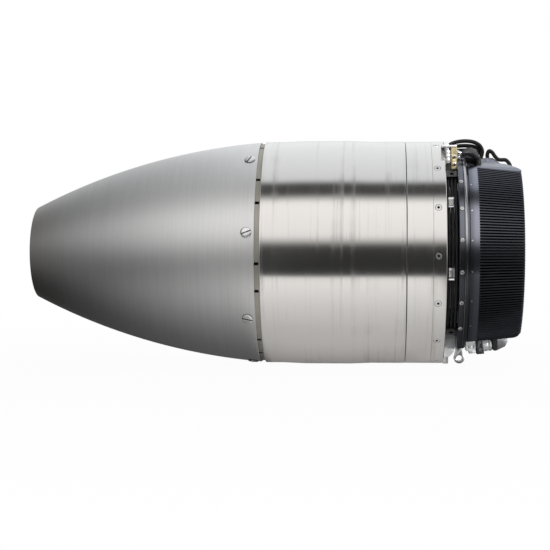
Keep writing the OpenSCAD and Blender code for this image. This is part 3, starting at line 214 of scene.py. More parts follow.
def plain_steel(name, colour, dark, rough, scale=700.0):
    """Small steel pieces: turned or pressed, with fine scratches and darker patches at random."""
    f = Finish(name)
    scratch, patch = f.handling(scale)
    steel = f.mixed(f.clamped(patch * 0.6 + scratch * 0.4, 0.35, 0.75), colour, dark)
    return f.surface(steel, rough - 0.06 + 0.16 * scratch, 1.0, f.bump(scratch, 0.00003, 0.5))


def lip_steel():
    """Turned lip of the cover's flange: polished, with painted shade that darkens its lower half."""
    f = Finish("flange_lip_polished")
    scratch, patch = f.handling()
    unshaded_from = 0.022
    clean = f.mixed(patch, (0.6, 0.6, 0.62), (0.5, 0.5, 0.52))
    painted_shade_below = f.mixed(patch, (0.2, 0.2, 0.21), (0.13, 0.13, 0.14))
    # Painted shade: the lip is dark below the engine axis and reaches its own polished colour 22 mm above
    # it.
    steel = f.mixed(f.clamped(f.z, 0.0, unshaded_from), painted_shade_below, clean)
    return f.surface(steel, 0.16 + 0.16 * scratch, 1.0, f.bump(scratch, 0.00003, 0.5))


def heat_tinted_steel():
    """Hot-end sheet, tinted straw, brown and blue by the exhaust, dull and faintly sooty."""
    f = Finish("hot_end_steel")
    cloud = f.grain(24.0, (1, 1.5, 1.5), 4.0)
    soot = f.grain(70.0, detail=4.0)
    heat = f.clamped(0 - f.x, 0.03, 0.34) * 0.75 + cloud * 0.35 - 0.08
    tint = f.node("ShaderNodeValToRGB", {"stops": [
        (0.0, (0.36, 0.34, 0.32)), (0.35, (0.40, 0.31, 0.2)), (0.55, (0.28, 0.18, 0.14)),
        (0.75, (0.17, 0.16, 0.24)), (1.0, (0.3, 0.31, 0.34))]}, {0: heat})
    sooty = f.mixed(f.clamped(soot, 0.55, 0.8) * 0.5, tint, (0.05, 0.045, 0.04))
    return f.surface(sooty, 0.32 + 0.25 * soot, 0.9, f.bump(soot, 0.00008, 0.3))


def flange_strip():
    """Rear flange: bead-blasted steel, slightly tanned by heat."""
    f = Finish("flange_tanned_steel")
    speck = f.grain(1800.0, detail=2.0)
    cloud = f.grain(38.0, detail=3.0)
    steel = f.mixed(cloud, (0.58, 0.56, 0.51), (0.40, 0.375, 0.33))
    return f.surface(steel, 0.36 + 0.2 * speck, 0.9, f.bump(speck, 0.00005, 0.5))


def turned_aluminium():
    """Aluminium turned on a lathe and left bare, with tool rings round the engine axis."""
    f = Finish("bare_turned_aluminium")
    rings_per_m = 1300.0
    spot = f.vec(f.x * rings_per_m, f.radius() * rings_per_m, 0.0)
    rings = f.node("ShaderNodeTexNoise", {"noise_dimensions": "2D"},
                   {"Vector": spot, "Scale": 1.0, "Detail": 2.0})
    cloud = f.grain(45.0, detail=3.0)
    metal = f.mixed(cloud, (0.72, 0.73, 0.745), (0.58, 0.59, 0.6))
    return f.surface(metal, 0.2 + 0.16 * rings + 0.06 * cloud, 1.0, f.bump(rings, 0.00004, 0.5))


def black_anodised(name="black_anodised_aluminium", lighter=1.0):
    """Black anodised aluminium: the turned band behind the fins is sleek and carries a painted highlight,
    the rest blasted and satin.
    """
    f = Finish(name)
    grain = f.grain(2600.0, detail=2.0)
    rub = f.grain(30.0, detail=4.0, rough=0.65)
    speck = f.grain(420.0, detail=2.0)
    worn = f.clamped(rub, 0.52, 0.8)
    fins_from, band_to, wall_r, band_r = 0.1546, 0.1528, 0.1005, 0.103
    sleek = f.clamped(f.x, fins_from, band_to) * f.clamped(f.radius(), wall_r, band_r)
    wear = worn * 0.6 + speck * 0.2

    def dyed(v):
        return v * 0.97 * lighter, v * 1.01 * lighter, v * 1.19 * lighter

    satin = f.mixed(wear, dyed(0.1), dyed(0.142))
    # Painted highlight: the band's colour is far lighter than the rest and lightens from rear to front;
    # only its lower roughness is real.
    rear_x, front_x = 0.144, 0.1505
    band = f.mixed(f.clamped(f.x, rear_x, front_x), (0.192, 0.203, 0.238), (0.35, 0.355, 0.436))
    band = f.mixed(wear * 0.3, band, (0.3, 0.3, 0.34))
    rough = 0.36 + 0.1 * grain + 0.06 * worn - 0.2 * sleek
    return f.surface(f.mixed(sleek, satin, band), rough, 1.0, f.bump(grain, 0.00003, 0.3))


def dull_brass():
    """Milled brass of the valve block, stained in patches."""
    f = Finish("valve_brass")
    scratch = f.grain(900.0, (0.2, 1, 1), 3.0)
    stain = f.grain(120.0, detail=4.0)
    brass = f.mixed(f.clamped(stain, 0.4, 0.75), (0.86, 0.74, 0.45), (0.62, 0.51, 0.29))
    return f.surface(brass, 0.3 + 0.2 * scratch, 0.75, f.bump(scratch, 0.00004, 0.4))


def cast_silver():
    """Light satin metal of the valve, the pump and the lugs: blasted after casting, a little handled."""
    f = Finish("satin_cast_metal")
    grit = f.grain(1900.0, detail=2.0)
    cloud = f.grain(70.0, detail=3.0)
    metal = f.mixed(f.clamped(cloud, 0.35, 0.75), (0.95, 0.95, 0.955), (0.78, 0.785, 0.795))
    return f.surface(metal, 0.3 + 0.16 * grit, 0.5, f.bump(grit, 0.00004, 0.4))


def socket_screw(name, floor_r, rim_r, socket_shade, slope=0.0, along=0.0):
    """Bright zinc screws with painted shade in their sockets or slots, which lie below their rims."""
    f = Finish(name)
    scratch, patch = f.handling()
    worn = f.clamped(patch * 0.6 + scratch * 0.4, 0.35, 0.8)
    zinc = f.mixed(worn, (0.95, 0.95, 0.95), (0.74, 0.735, 0.73))
    # Painted shade: where the surface lies below the rim, the colour goes to the given shade grey.
    level = f.radius() - slope * (f.x - along * mm)
    depth = f.clamped(level, floor_r * mm, rim_r * mm)
    return f.surface(f.mixed(depth, (socket_shade, socket_shade, socket_shade), zinc), 0.2 + 0.14 * scratch, 0.85,
                     f.bump(scratch, 0.00003, 0.5))


def wound_copper():
    """Varnished copper wire, wound in close turns along the axis."""
    f = Finish("stator_copper_winding")
    turns = f.math("SINE", f.x * 5200.0)
    cloud = f.grain(200.0, detail=2.0)
    copper = f.mixed(cloud, (0.62, 0.25, 0.11), (0.42, 0.15, 0.06))
    return f.surface(copper, 0.3 + 0.1 * cloud, 0.9, f.bump(turns, 0.0002, 0.6))


def hose_rubber():
    """Black hose with a fine spiral rib and a little dust."""
    f = Finish("hose_ribbed_rubber")
    ribs = f.math("SINE", f.angle() * 900.0 + f.x * 1500.0)
    dust = f.grain(160.0, detail=4.0)
    rubber = f.mixed(f.clamped(dust, 0.5, 0.8), (0.010, 0.010, 0.011), (0.030, 0.030, 0.030))
    return f.surface(rubber, 0.42 + 0.16 * dust, 0.0, f.bump(ribs, 0.00006, 0.35))


def cable_jacket():
    """Smooth black cable jacket, faintly glossy, with a little handling dust."""
    f = Finish("cable_black_jacket")
    skin = f.grain(1500.0, detail=2.0)
    dust = f.grain(90.0, detail=4.0)
    jacket = f.mixed(f.clamped(dust, 0.5, 0.85), (0.009, 0.009, 0.010), (0.028, 0.028, 0.029))
    return f.surface(jacket, 0.3 + 0.2 * dust, 0.0, f.bump(skin, 0.00004, 0.4), Coat_Weight=0.15)


def moulded_plastic(name="moulded_black_plastic", shell_x=1.0):
    """Black plastic, with a cast shell from shell_x on where a piece has one."""
    f = Finish(name)
    grain = f.grain(1100.0, detail=2.0)
    cloud = f.grain(55.0, detail=3.0)
    black = f.mixed(cloud, (0.014, 0.014, 0.015), (0.03, 0.03, 0.031))
    joint = 0.2 * mm
    shell = f.clamped(f.x, shell_x - joint, shell_x + joint)
    cast = f.mixed(f.clamped(cloud, 0.4, 0.65), (0.46, 0.46, 0.47), (0.18, 0.18, 0.19))
    return f.surface(f.mixed(shell, black, cast), 0.42 + 0.16 * grain, 0.5 * shell,
                     f.bump(grain, 0.00008, 0.5))


def board_lacquer():
    """Circuit board under green lacquer, with a pattern of faint straight tracks."""
    f = Finish("board_green_lacquer")
    tracks = f.node("ShaderNodeTexVoronoi", None, {"Vector": f.stretched((0, 1, 1)), "Scale": 260.0})
    cloud = f.grain(140.0, detail=3.0)
    green = f.mixed(f.clamped(tracks, 0.2, 0.5), (0.012, 0.09, 0.04), (0.02, 0.16, 0.075))
    return f.surface(green, 0.25 + 0.15 * cloud, 0.0, f.bump(tracks, 0.00006, 0.4), Coat_Weight=0.3)


finish = {
    "nozzle_steel": brushed_nozzle(),
    "polished_steel": polished_case(),
    "screw_steel": plain_steel("screw_bright_steel", (0.82, 0.82, 0.82), (0.56, 0.555, 0.55), 0.24),
    "flange_steel": flange_strip(),
    "hot_steel": heat_tinted_steel(),
    "bearing_steel": plain_steel("bearing_ground_steel", (0.74, 0.745, 0.75), (0.6, 0.6, 0.61), 0.16),
    "bare_aluminium": turned_aluminium(),
    "black_anodised": black_anodised(),
    "clip_steel": plain_steel("clip_sprung_steel", (0.93, 0.93, 0.94), (0.74, 0.74, 0.74), 0.17, 500.0),
    "brass": dull_brass(),
    "copper_winding": wound_copper(),
    "hose_rubber": hose_rubber(),
    "cable_jacket": cable_jacket(),
    "black_plastic": moulded_plastic(),
    "board_green": board_lacquer(),
}
looks = {
    # Painted reflection: the roof takes the black anodised finish made 3.2 times lighter.
    "roof": black_anodised("roof_grey_anodised", 3.2),
    "lip": lip_steel(),
    # Painted shade: the hose ports take a near-black copy of the plain steel finish.
    "port": plain_steel("port_blackened_metal", (0.13, 0.13, 0.135), (0.07, 0.07, 0.075), 0.34),
    "plug": moulded_plastic("plug_in_metal_shell", 0.1794),
    "silver": cast_silver(),
    # Painted shade: the screw sockets turn dark below their rims, darkest in the ring screws.
    "ring_screw": socket_screw("case_screw_zinc", 122.6, 123.3, 0.03),
    "rim_screw": socket_screw("rim_screw_zinc", 117.3, 118.1, 0.5),
}
slot_of = {
    "nozzle_steel": ["exhaust_nozzle"],
    "polished_steel": ["combustion_case", "case_front_ring"],
    "screw_steel": ["nozzle_screws", "case_screws", "flange_screws", "cover_screws", "pump_screws"],
    "flange_steel": ["rear_flange"],
    "hot_steel": ["jet_pipe", "tail_cone", "guide_vanes", "outer_liner", "inner_liner", "liner_dome",
                  "vaporiser_tubes", "fuel_ring", "igniter", "turbine_wheel"],
    "bearing_steel": ["front_outer_race", "rear_outer_race", "front_inner_race", "rear_inner_race",
                      "front_ball_set", "rear_ball_set", "preload_spring", "shaft", "compressor_nut",
                      "starter_rotor"],
    "bare_aluminium": ["shaft_tunnel", "diffuser", "compressor_cover", "compressor_wheel", "pump_head",
                       "pump_motor", "fuel_valve", "mounting_lugs", "lifting_eye", "hose_ports"],
    "black_anodised": ["intake_duct", "starter_housing", "nose_cap", "cover_flange", "left_fin_shell",
                       "right_fin_shell", "cover_roof", "cover_belly", "front_plate", "pump_strap"],
    "clip_steel": ["hose_clips", "valve_bracket", "valve_fittings"],
    "brass": ["valve_block"],
    "copper_winding": ["starter_stator"],
    "hose_rubber": ["bay_hoses", "harness_hoses"],
    "cable_jacket": ["power_cable", "signal_cable"],
    "black_plastic": ["pump_plug"],
    "board_green": ["control_board"],
}
for slot_name, node_names in slot_of.items():
    for node_name in node_names:
        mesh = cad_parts[node_name].data
        mesh.materials.clear()
        mesh.materials.append(finish[slot_name])


# Geometry trees

def new_tree(name, inputs):
    """An empty geometry tree with named inputs; returns it with its input values by name."""
    group = bpy.data.node_groups.new(name, "GeometryNodeTree")
    group.interface.new_socket("Geometry", in_out="INPUT", socket_type="NodeSocketGeometry")
    for label, kind in inputs:
        group.interface.new_socket(label, in_out="INPUT", socket_type="NodeSocket" + kind)
    group.interface.new_socket("Geometry", in_out="OUTPUT", socket_type="NodeSocketGeometry")
    tree = Tree(group)
    first = tree.node("NodeGroupInput")
    given = {socket.name: Val(tree, socket) for socket in first.socket.node.outputs if socket.name}
    return tree, given


def closed_tree(tree, shape, given):
    """Ends a tree: instances made real, finish set."""
    real = tree.node("GeometryNodeRealizeInstances", None, {0: shape})
    coated = tree.node("GeometryNodeSetMaterial", None, {"Geometry": real, "Material": given["Finish"]})
    tree.node("NodeGroupOutput", None, {0: coated})
    return tree.nodes


def spinning_tree():
    """Turns a row of points, given as x and radius, round the engine axis."""
    tree, given = new_tree("spun_sheet", [("Points", "Int"), ("Segments", "Int"), ("From", "Float"),
                                          ("Sweep", "Float"), ("Finish", "Material")])
    rows = given["Segments"] + 1
    grid = tree.node("GeometryNodeMeshGrid", None, {"Size X": 1.0, "Size Y": 1.0,
                                                    "Vertices X": given["Points"], "Vertices Y": rows})
    index = tree.node("GeometryNodeInputIndex")
    step = tree.math("FLOOR", (index + 0.5) / rows)
    turn = given["From"] + given["Sweep"] * (index - step * rows) / given["Segments"]
    spot = tree.node("GeometryNodeSampleIndex", {"data_type": "FLOAT_VECTOR", "domain": "POINT"},
                     {"Geometry": given["Geometry"], "Value": tree.node("GeometryNodeInputPosition"),
                      "Index": step})
    x = tree.node("ShaderNodeSeparateXYZ", None, {0: spot})
    r = x.also(1)
    place = tree.vec(x, (0 - r) * tree.math("COSINE", turn), r * tree.math("SINE", turn))
    sheet = tree.node("GeometryNodeSetPosition", None, {"Geometry": grid, "Position": place})
    merged = tree.node("GeometryNodeMergeByDistance", None, {"Geometry": sheet, "Distance": 0.000002})
    return closed_tree(tree, merged, given)


def ring_tree():
    """Sets copies of a piece on a circle round the engine axis, their own Z pointing outward."""
    tree, given = new_tree("ring_of_screws", [
        ("Count", "Int"), ("First", "Float"), ("Step", "Float"), ("Along", "Float"), ("Radius", "Float"),
        ("Turn", "Float"), ("Turn Step", "Float"), ("Lean", "Float"), ("Finish", "Material")])

    def rotation(x, y, z):
        return tree.node("FunctionNodeEulerToRotation", None, {0: tree.vec(x, y, z)})

    def rotated(copies, by):
        return tree.node("GeometryNodeRotateInstances", None,
                         {"Instances": copies, "Rotation": by, "Local Space": True})

    index = tree.node("GeometryNodeInputIndex")
    phi = given["First"] + given["Step"] * index
    place = tree.vec(given["Along"], (0 - given["Radius"]) * tree.math("COSINE", phi),
                     given["Radius"] * tree.math("SINE", phi))
    points = tree.node("GeometryNodePoints", None, {"Count": given["Count"], "Position": place})
    copies = tree.node("GeometryNodeInstanceOnPoints", None,
                       {"Points": points, "Instance": given["Geometry"],
                        "Rotation": rotation(math.pi / 2 - phi, 0.0, 0.0)})
    leaned = rotated(copies, rotation(0.0, 0 - given["Lean"], 0.0))
    turned = rotated(leaned, rotation(0.0, 0.0, given["Turn"] + given["Turn Step"] * index))
    return closed_tree(tree, turned, given)


def hose_tree():
    """Sweeps a round section along the edges of a route."""
    tree, given = new_tree("swept_hose", [("Radius", "Float"), ("Sides", "Int"), ("Finish", "Material")])
    route = tree.node("GeometryNodeMeshToCurve", None, {0: given["Geometry"]})
    section = tree.node("GeometryNodeCurvePrimitiveCircle", None,
                        {"Resolution": given["Sides"], "Radius": given["Radius"]})
    tube = tree.node("GeometryNodeCurveToMesh", None, {0: route, 1: section, "Fill Caps": True})
    return closed_tree(tree, tube, given)


spun_sheet = spinning_tree()
ring_of_screws = ring_tree()
swept_hose = hose_tree()


# Making and fitting pieces

def seed(name, points, edges=(), faces=()):
    mesh = bpy.data.meshes.new(name)
    mesh.from_pydata(points, edges, faces)
    mesh.update()
    return mesh


def settled(obj):
    """Applies an object's modifiers and keeps the result as its plain mesh."""
    graph = bpy.context.evaluated_depsgraph_get()
    mesh = bpy.data.meshes.new_from_object(obj.evaluated_get(graph), depsgraph=graph)
    obj.modifiers.clear()
    before = obj.data
    obj.data = mesh
    bpy.data.meshes.remove(before)
    return obj


def placed(name, mesh):
    obj = bpy.data.objects.new(name, mesh)
    scene.collection.objects.link(obj)
    return obj


def grown(name, start, tree, **sizes):
    """Runs a geometry tree over a starting mesh and keeps the result as a plain mesh."""
    obj = placed(name, start)
    work = obj.modifiers.new("make", "NODES")
    work.node_group = tree
    for item in tree.interface.items_tree:
        key = item.name.replace(" ", "_")
        if item.item_type == "SOCKET" and item.in_out == "INPUT" and key in sizes:
            work[item.identifier] = sizes[key]
    return settled(obj)


def shaded(obj, sharp=30):
    """Smooth faces with hard edges where the shape really turns."""
    mesh = obj.data
    mesh.polygons.foreach_set("use_smooth", [True] * len(mesh.polygons))
    mesh.set_sharp_from_angle(angle=math.radians(sharp))
    return obj


def outward(obj):
    work = bmesh.new()
    work.from_mesh(obj.data)
    bmesh.ops.recalc_face_normals(work, faces=work.faces)
    work.to_mesh(obj.data)
    work.free()
    return obj


def fitted(obj, slot_name, *nodes, body="engine"):
    """Hands a finished piece to the frame: it rides, stands for its nodes and takes a slot's finish."""
    if not obj.data.materials:
        obj.data.materials.append(finish[slot_name])
    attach(obj, body)
    if nodes:
        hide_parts(*nodes)


def spun(name, profile, coat, segments, first=0.0, sweep=2 * math.pi):
    """A closed profile of x and radius in millimetres, turned round the engine axis."""
    loop = profile + profile[:1]
    start = seed(name, [(x * mm, r * mm, 0.0) for x, r in loop])
    obj = grown(name, start, spun_sheet, Points=len(loop), Segments=segments, From=first, Sweep=sweep,
                Finish=coat)
    return shaded(outward(obj))


# Camera, set as the photograph was taken

away = 1.633
aim = Vector((-0.0683, 0.0, -0.0257))
side, lift = math.radians(3.8), math.radians(1.6)
sensor, focal_px, picture_px = 36.0, 1444.0, 550.0
camera = bpy.data.objects.new("camera", bpy.data.cameras.new("camera"))
camera.data.sensor_width = sensor
camera.data.lens = sensor * focal_px / picture_px
camera.location = aim + away * Vector((math.sin(side) * math.cos(lift), -math.cos(side) * math.cos(lift),
                                       math.sin(lift)))
camera.rotation_euler = (aim - camera.location).to_track_quat("-Z", "Y").to_euler()
scene.collection.objects.link(camera)
scene.camera = camera
scene.view_settings.view_transform = "Standard"


# Studio: soft boxes in the world's colour, a pale table, a white background, a few narrow lamps

def studio_world():
    """Strips of light round the engine axis, other ones ahead than astern, fading toward the outlet."""
    world = bpy.data.worlds.new("studio")
    world.use_nodes = True
    t = Tree(world.node_tree)
    t.nodes.nodes.clear()
    way = t.node("ShaderNodeTexCoord", out="Generated")
    x = t.node("ShaderNodeSeparateXYZ", None, {0: way})
    climb = t.math("ARCTAN2", x.also(2), 0 - x.also(1)) / (2 * math.pi) + 0.5

    def sky(stops, warm, cool):
        """Brightness by degrees round the engine axis, warm in front and cool overhead."""
        overhead = 75
        return t.node("ShaderNodeValToRGB", {"stops": [
            (degrees / 360.0 + 0.5, tuple(v * c for c in (cool if degrees > overhead else warm)))
            for degrees, v in stops]}, {0: climb})

    ahead = sky([(-170, 0.9), (-29, 0.75), (-26, 0.03), (7, 0.03), (16.5, 0.93), (52, 1.05), (61.5, 0.04),
                 (73.5, 0.04), (80, 0.77), (115, 0.9), (150, 1.0), (172, 0.85)],
                (1.0, 0.985, 0.96), (0.97, 1.0, 1.01))
    astern = sky([(-170, 0.6), (-8, 0.6), (5, 0.74), (16, 1.2), (30, 1.42), (46, 1.34), (58, 0.66),
                  (70, 0.46), (90, 0.44), (115, 0.46), (140, 0.58), (172, 0.55)],
                 (1.0, 0.997, 0.998), (0.985, 1.0, 1.01))
    ahead_to, astern_from = -0.17, -0.24
    light = t.mixed(t.clamped(x, ahead_to, astern_from), ahead, astern)
    fade = t.node("ShaderNodeValToRGB", {"stops": [(place, (v, v, v)) for place, v in (
        (0.0, 0.04), (0.09, 0.13), (0.2, 0.4), (0.27, 0.66), (0.35, 0.88), (0.42, 0.97), (0.5, 1.0))]},
        {0: x * 0.5 + 0.5})
    light = t.node("ShaderNodeVectorMath", {"operation": "MULTIPLY"}, {0: light, 1: fade})
    path = t.node("ShaderNodeLightPath")
    room = t.node("ShaderNodeBackground", None, {"Color": light, "Strength": 1.0})
    white = t.node("ShaderNodeBackground", None, {"Color": (1, 1, 1, 1), "Strength": 1.0})
    seen = t.node("ShaderNodeMixShader", None, {0: path, 1: room, 2: white})
    t.node("ShaderNodeOutputWorld", None, {"Surface": seen})
    scene.world = world


def table_floor():
    """White to the camera, and to mirrors a lit table beside the case and dim under nozzle and cover."""
    half, below = 4, 0.0006
    z = cad_box[0][2] - below
    corners = (-half, -half), (half, -half), (half, half), (-half, half)
    mesh = seed("floor", [(x, y, z) for x, y in corners], [], [(0, 1, 2, 3)])
    f = Finish("floor_pale")

    def emission(colour):
        return f.node("ShaderNodeEmission", None, {"Color": rgba(colour), "Strength": 1.0})

    def blend(factor, a, b):
        return f.node("ShaderNodeMixShader", None, {0: factor, 1: a, 2: b})

    path = f.node("ShaderNodeLightPath")
    mirrored = path.also("Is Glossy Ray")
    out = f.math("ABSOLUTE", f.y)
    reach = f.math("SQRT", f.x * f.x + f.y * f.y)
    speck = f.mixed(f.grain(40.0, detail=3.0), (0.86, 0.86, 0.86), (0.9, 0.9, 0.9))
    paper = f.node("ShaderNodeBsdfDiffuse", None, {"Color": speck})
    lit = blend(mirrored * (0.14 + 0.68 * f.clamped(out, 0.0, 0.3)), paper, emission((1.0, 0.982, 0.96)))
    case_rear, nozzle_front, outlet = -0.082, -0.1, -0.44
    case_front, cover_rear, cover_front, ahead = 0.12, 0.136, 0.225, 0.27
    table_edge, beyond = 0.335, 0.37
    under_nozzle = f.clamped(f.x + 0.15 * (out - 0.12), case_rear, nozzle_front)
    under_cover = (0.88 * f.clamped(f.x, case_front, cover_rear)
                   - 0.34 * f.clamped(f.x, cover_front, ahead))
    far_out = f.clamped(out, table_edge, beyond)
    glow = (0.1 + 0.36 * f.clamped(out, 0.03, 0.22)) * (1.0 - 0.8 * f.clamped(f.x, -0.09, outlet))
    grey = f.node("ShaderNodeMix", {"data_type": "FLOAT"}, {0: under_nozzle, 2: 0.03, 3: glow})
    dark = f.math("MAXIMUM", far_out, f.math("MAXIMUM", under_nozzle, under_cover)) * mirrored
    table = blend(dark, lit, emission(f.vec(grey, grey, grey)))
    seen = path * (0.965 + 0.035 * f.clamped(reach, 0.3, 1.1))
    f.node("ShaderNodeOutputMaterial", None, {"Surface": blend(seen, table, emission((1.0, 1.0, 1.0)))})
    floor = bpy.data.objects.new("floor", mesh)
    mesh.materials.append(f.material)
    scene.collection.objects.link(floor)


def narrow_lamp(name, place, target, half_angle, watts):
    """A lamp that shines on one small part of the engine and on nothing else."""
    lamp = bpy.data.lights.new(name, "SPOT")
    lamp.energy = watts
    lamp.spot_size = math.radians(2 * half_angle)
    lamp.spot_blend = 0.2
    lamp.shadow_soft_size = 0.008
    obj = bpy.data.objects.new(name, lamp)
    obj.location = place
    obj.rotation_euler = (Vector(target) - Vector(place)).to_track_quat("-Z", "Y").to_euler()
    obj.visible_camera = False
    scene.collection.objects.link(obj)


studio_world()
table_floor()
narrow_lamp("outlet_lamp", (-0.8, 0.0, 0.0), (0.0, 0.0, 0.0), half_angle=5.4, watts=5.2)
narrow_lamp("intake_lamp", (0.75, 0.0, 0.0), (0.0, 0.0, 0.0), half_angle=7.5, watts=1.5)
narrow_lamp("valve_lamp", (0.45, -0.55, 0.45), (0.129, -0.045, 0.108), half_angle=2.6, watts=18.0)
narrow_lamp("pump_lamp", (0.6, -0.55, -0.06), (0.152, -0.03, -0.108), half_angle=4.2, watts=9.0)


# Shaping pieces

def rounded(points, r, steps=3):
    """Rounds the corners of a closed profile by a small radius."""
    nearly_straight, share = math.radians(172), 2.2
    out = []
    n = len(points)
    for i, p in enumerate(points):
        a, b, c = Vector(points[i - 1]), Vector(p), Vector(points[(i + 1) % n])
        before, after = a - b, c - b
        reach = min(r, before.length / share, after.length / share)
        if before.angle(after) > nearly_straight:
            out.append(tuple(b))
            continue
        start, end = b + before.normalized() * reach, b + after.normalized() * reach
        for k in range(steps + 1):
            t = k / steps
            out.append(tuple(start.lerp(b, t).lerp(b.lerp(end, t), t)))
    return out


def copied(node_name):
    """A node's shape as a clean mesh of its own: doubles merged, flat faces made whole."""
    same_spot, flat = 0.004 * mm, math.radians(0.8)
    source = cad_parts[node_name]
    work = bmesh.new()
    work.from_mesh(source.data)
    work.transform(source.matrix_world)
    bmesh.ops.remove_doubles(work, verts=work.verts, dist=same_spot)
    bmesh.ops.dissolve_limit(work, angle_limit=flat, verts=work.verts, edges=work.edges)
    mesh = bpy.data.meshes.new(node_name + "_soft")
    work.to_mesh(mesh)
    work.free()
    return placed(node_name + "_soft", mesh)


engine_axis = (Vector(), Vector((1.0, 0.0, 0.0)))


def turned_shading(obj, axes):
    """Gives faces that lie on a cone round one of some axes the true normals of that cone."""
    slack, tiny, edge_on, alike = 0.12 * mm, 0.5 * mm, 0.05, 0.96
    mesh = obj.data
    normals = [Vector(corner.vector) for corner in mesh.corner_normals]
    for face in mesh.polygons:
        n = face.normal
        spots = [mesh.vertices[i].co for i in face.vertices]
        for start, axis in axes:
            along = [(p - start).dot(axis) for p in spots]
            arms = [p - start - axis * a for p, a in zip(spots, along)]
            rise = n.dot(axis)
            out = n.dot(sum(arms, Vector()).normalized())
            if abs(out) < edge_on or min(arm.length for arm in arms) < tiny:
                continue
            flare = -rise / out
            tilt = math.copysign(math.sqrt(max(0.0, 1 - rise * rise)), out)
            true = [axis * rise + arm.normalized() * tilt for arm in arms]
            on_cone = all(abs(arm.length - arms[0].length - flare * (a - along[0])) < slack
                          for arm, a in zip(arms, along))
            if on_cone and min(n.dot(t) for t in true) > alike:
                for loop, t in zip(face.loop_indices, true):
                    normals[loop] = t
                break
    mesh.normals_split_custom_set(normals)
    return obj


def softened(node_name, slot_name, width, segments=2, look=None, axes=()):
    """Stands in for a node with the same shape and small rounded edges."""
    sharp = 32
    obj = copied(node_name)
    edge = obj.modifiers.new("edge", "BEVEL")
    edge.width = width * mm
    edge.segments = segments
    edge.limit_method = "ANGLE"
    edge.angle_limit = math.radians(sharp)
    edge.miter_outer = "MITER_ARC"
    shaded(settled(obj), sharp)
    if axes:
        turned_shading(obj, axes)
    if look:
        obj.data.materials.append(looks[look])
    fitted(obj, slot_name, node_name)


def lathed(name, profile, segments):
    """A seed mesh turned round its own Z from points of radius and height in millimetres."""
    points, faces = [], []
    turns = [2 * math.pi * k / segments for k in range(segments)]
    for r, z in profile[:-1]:
        points += [(r * mm * math.cos(turn), r * mm * math.sin(turn), z * mm) for turn in turns]
    points.append((0.0, 0.0, profile[-1][1] * mm))
    rows = len(profile) - 1
    for i in range(rows - 1):
        for k in range(segments):
            n = (k + 1) % segments
            row, above = i * segments, (i + 1) * segments
            faces.append((row + k, row + n, above + n, above + k))
    last = (rows - 1) * segments
    faces += [(last + k, last + (k + 1) % segments, len(points) - 1) for k in range(segments)]
    faces.append(tuple(reversed(range(segments))))
    return seed(name, points, [], faces)


def prism(name, outline, low, high):
    """A seed mesh: an outline in millimetres pushed from one height to another along Z."""
    n = len(outline)
    points = [(x * mm, y * mm, z * mm) for z in (low, high) for x, y in outline]
    sides = [(k, (k + 1) % n, n + (k + 1) % n, n + k) for k in range(n)]
    return seed(name, points, [], [tuple(reversed(range(n))), tuple(range(n, 2 * n))] + sides)


def hexagon(r):
    return [(r * math.cos(math.pi * k / 3), r * math.sin(math.pi * k / 3)) for k in range(6)]


def cut(mesh, tool_mesh):
    """Takes one seed mesh out of another."""
    obj, tool = placed("cut_work", mesh), placed("cut_tool", tool_mesh)
    work = obj.modifiers.new("cut", "BOOLEAN")
    work.object = tool
    work.operation = "DIFFERENCE"
    work.solver = "EXACT"
    settled(obj)
    bpy.data.objects.remove(tool)
    bpy.data.meshes.remove(tool_mesh)
    made = obj.data
    bpy.data.objects.remove(obj)
    return made


def joined(name, objs):
    """Several made objects as one."""
    work = bmesh.new()
    for obj in objs:
        work.from_mesh(obj.data)
    mesh = bpy.data.meshes.new(name)
    for material in objs[0].data.materials:
        mesh.materials.append(material)
    work.to_mesh(mesh)
    work.free()
    for obj in objs:
        bpy.data.objects.remove(obj)
    return placed(name, mesh)


def ring_of(name, mesh, coat, rows, along, radius, turn=0.0, turn_step=0.0, lean=0.0, sharp=30):
    """Copies of a seed mesh on circles round the engine; rows give count, first angle and step."""
    made = []
    for count, first, step in rows:
        made.append(grown(name, mesh.copy(), ring_of_screws, Count=count, First=math.radians(first),
                          Step=math.radians(step), Along=along * mm, Radius=radius * mm,
                          Turn=math.radians(turn), Turn_Step=math.radians(turn_step), Lean=lean,
                          Finish=coat))
    bpy.data.meshes.remove(mesh)
    return shaded(joined(name, made), sharp)


def smooth_route(points, steps):
    """The same smooth route through given points as the cords of the CAD part."""
    line = []
    for i in range(len(points) - 1):
        p0, p1, p2, p3 = (Vector(points[max(0, min(len(points) - 1, i + k))]) for k in (-1, 0, 1, 2))
        for s in range(steps):
            t = s / steps
            line.append(0.5 * (2 * p1 + (p2 - p0) * t + (2 * p0 - 5 * p1 + 4 * p2 - p3) * t * t
                               + (3 * p1 - p0 - 3 * p2 + p3) * t * t * t))
    return line + [Vector(points[-1])]


def swept(name, routes, radius, slot_name, node_name):
    """Round hoses or cables along routes given in millimetres."""
    sides = 20
    points, edges = [], []
    for route in routes:
        start = len(points)
        points += [tuple(Vector(p) * mm) for p in route]
        edges += [(start + k, start + k + 1) for k in range(len(route) - 1)]
    obj = grown(name, seed(name, points, edges), swept_hose, Radius=radius * mm, Sides=sides,
                Finish=finish[slot_name])
    fitted(shaded(outward(obj), sharp=50), slot_name, node_name)


# Exhaust nozzle: one arc from the case to the outlet, rolled sheet with turned lips

case_r, case_x0, case_x1 = 125.0, -77.0, 77.0
noz_x1, noz_x0 = -82.4, -337.4
noz_front_r, noz_exit_r, noz_wall = 123.3, 51.0, 1.0
noz_slope = math.radians(4.5)
noz_drop, noz_run = noz_front_r - noz_exit_r, noz_x1 - noz_x0
noz_arc = math.hypot(noz_drop, noz_run) / (2 * math.sin(math.atan(noz_drop / noz_run) - noz_slope))
noz_cx = noz_x1 + noz_arc * math.sin(noz_slope)
noz_cr = noz_front_r - noz_arc * math.cos(noz_slope)


def noz_r(x, inset=0.0):
    """Radius of the nozzle's skin at x, or of a surface that lies inset from it."""
    return noz_cr + math.sqrt((noz_arc - inset) ** 2 - (x - noz_cx) ** 2)


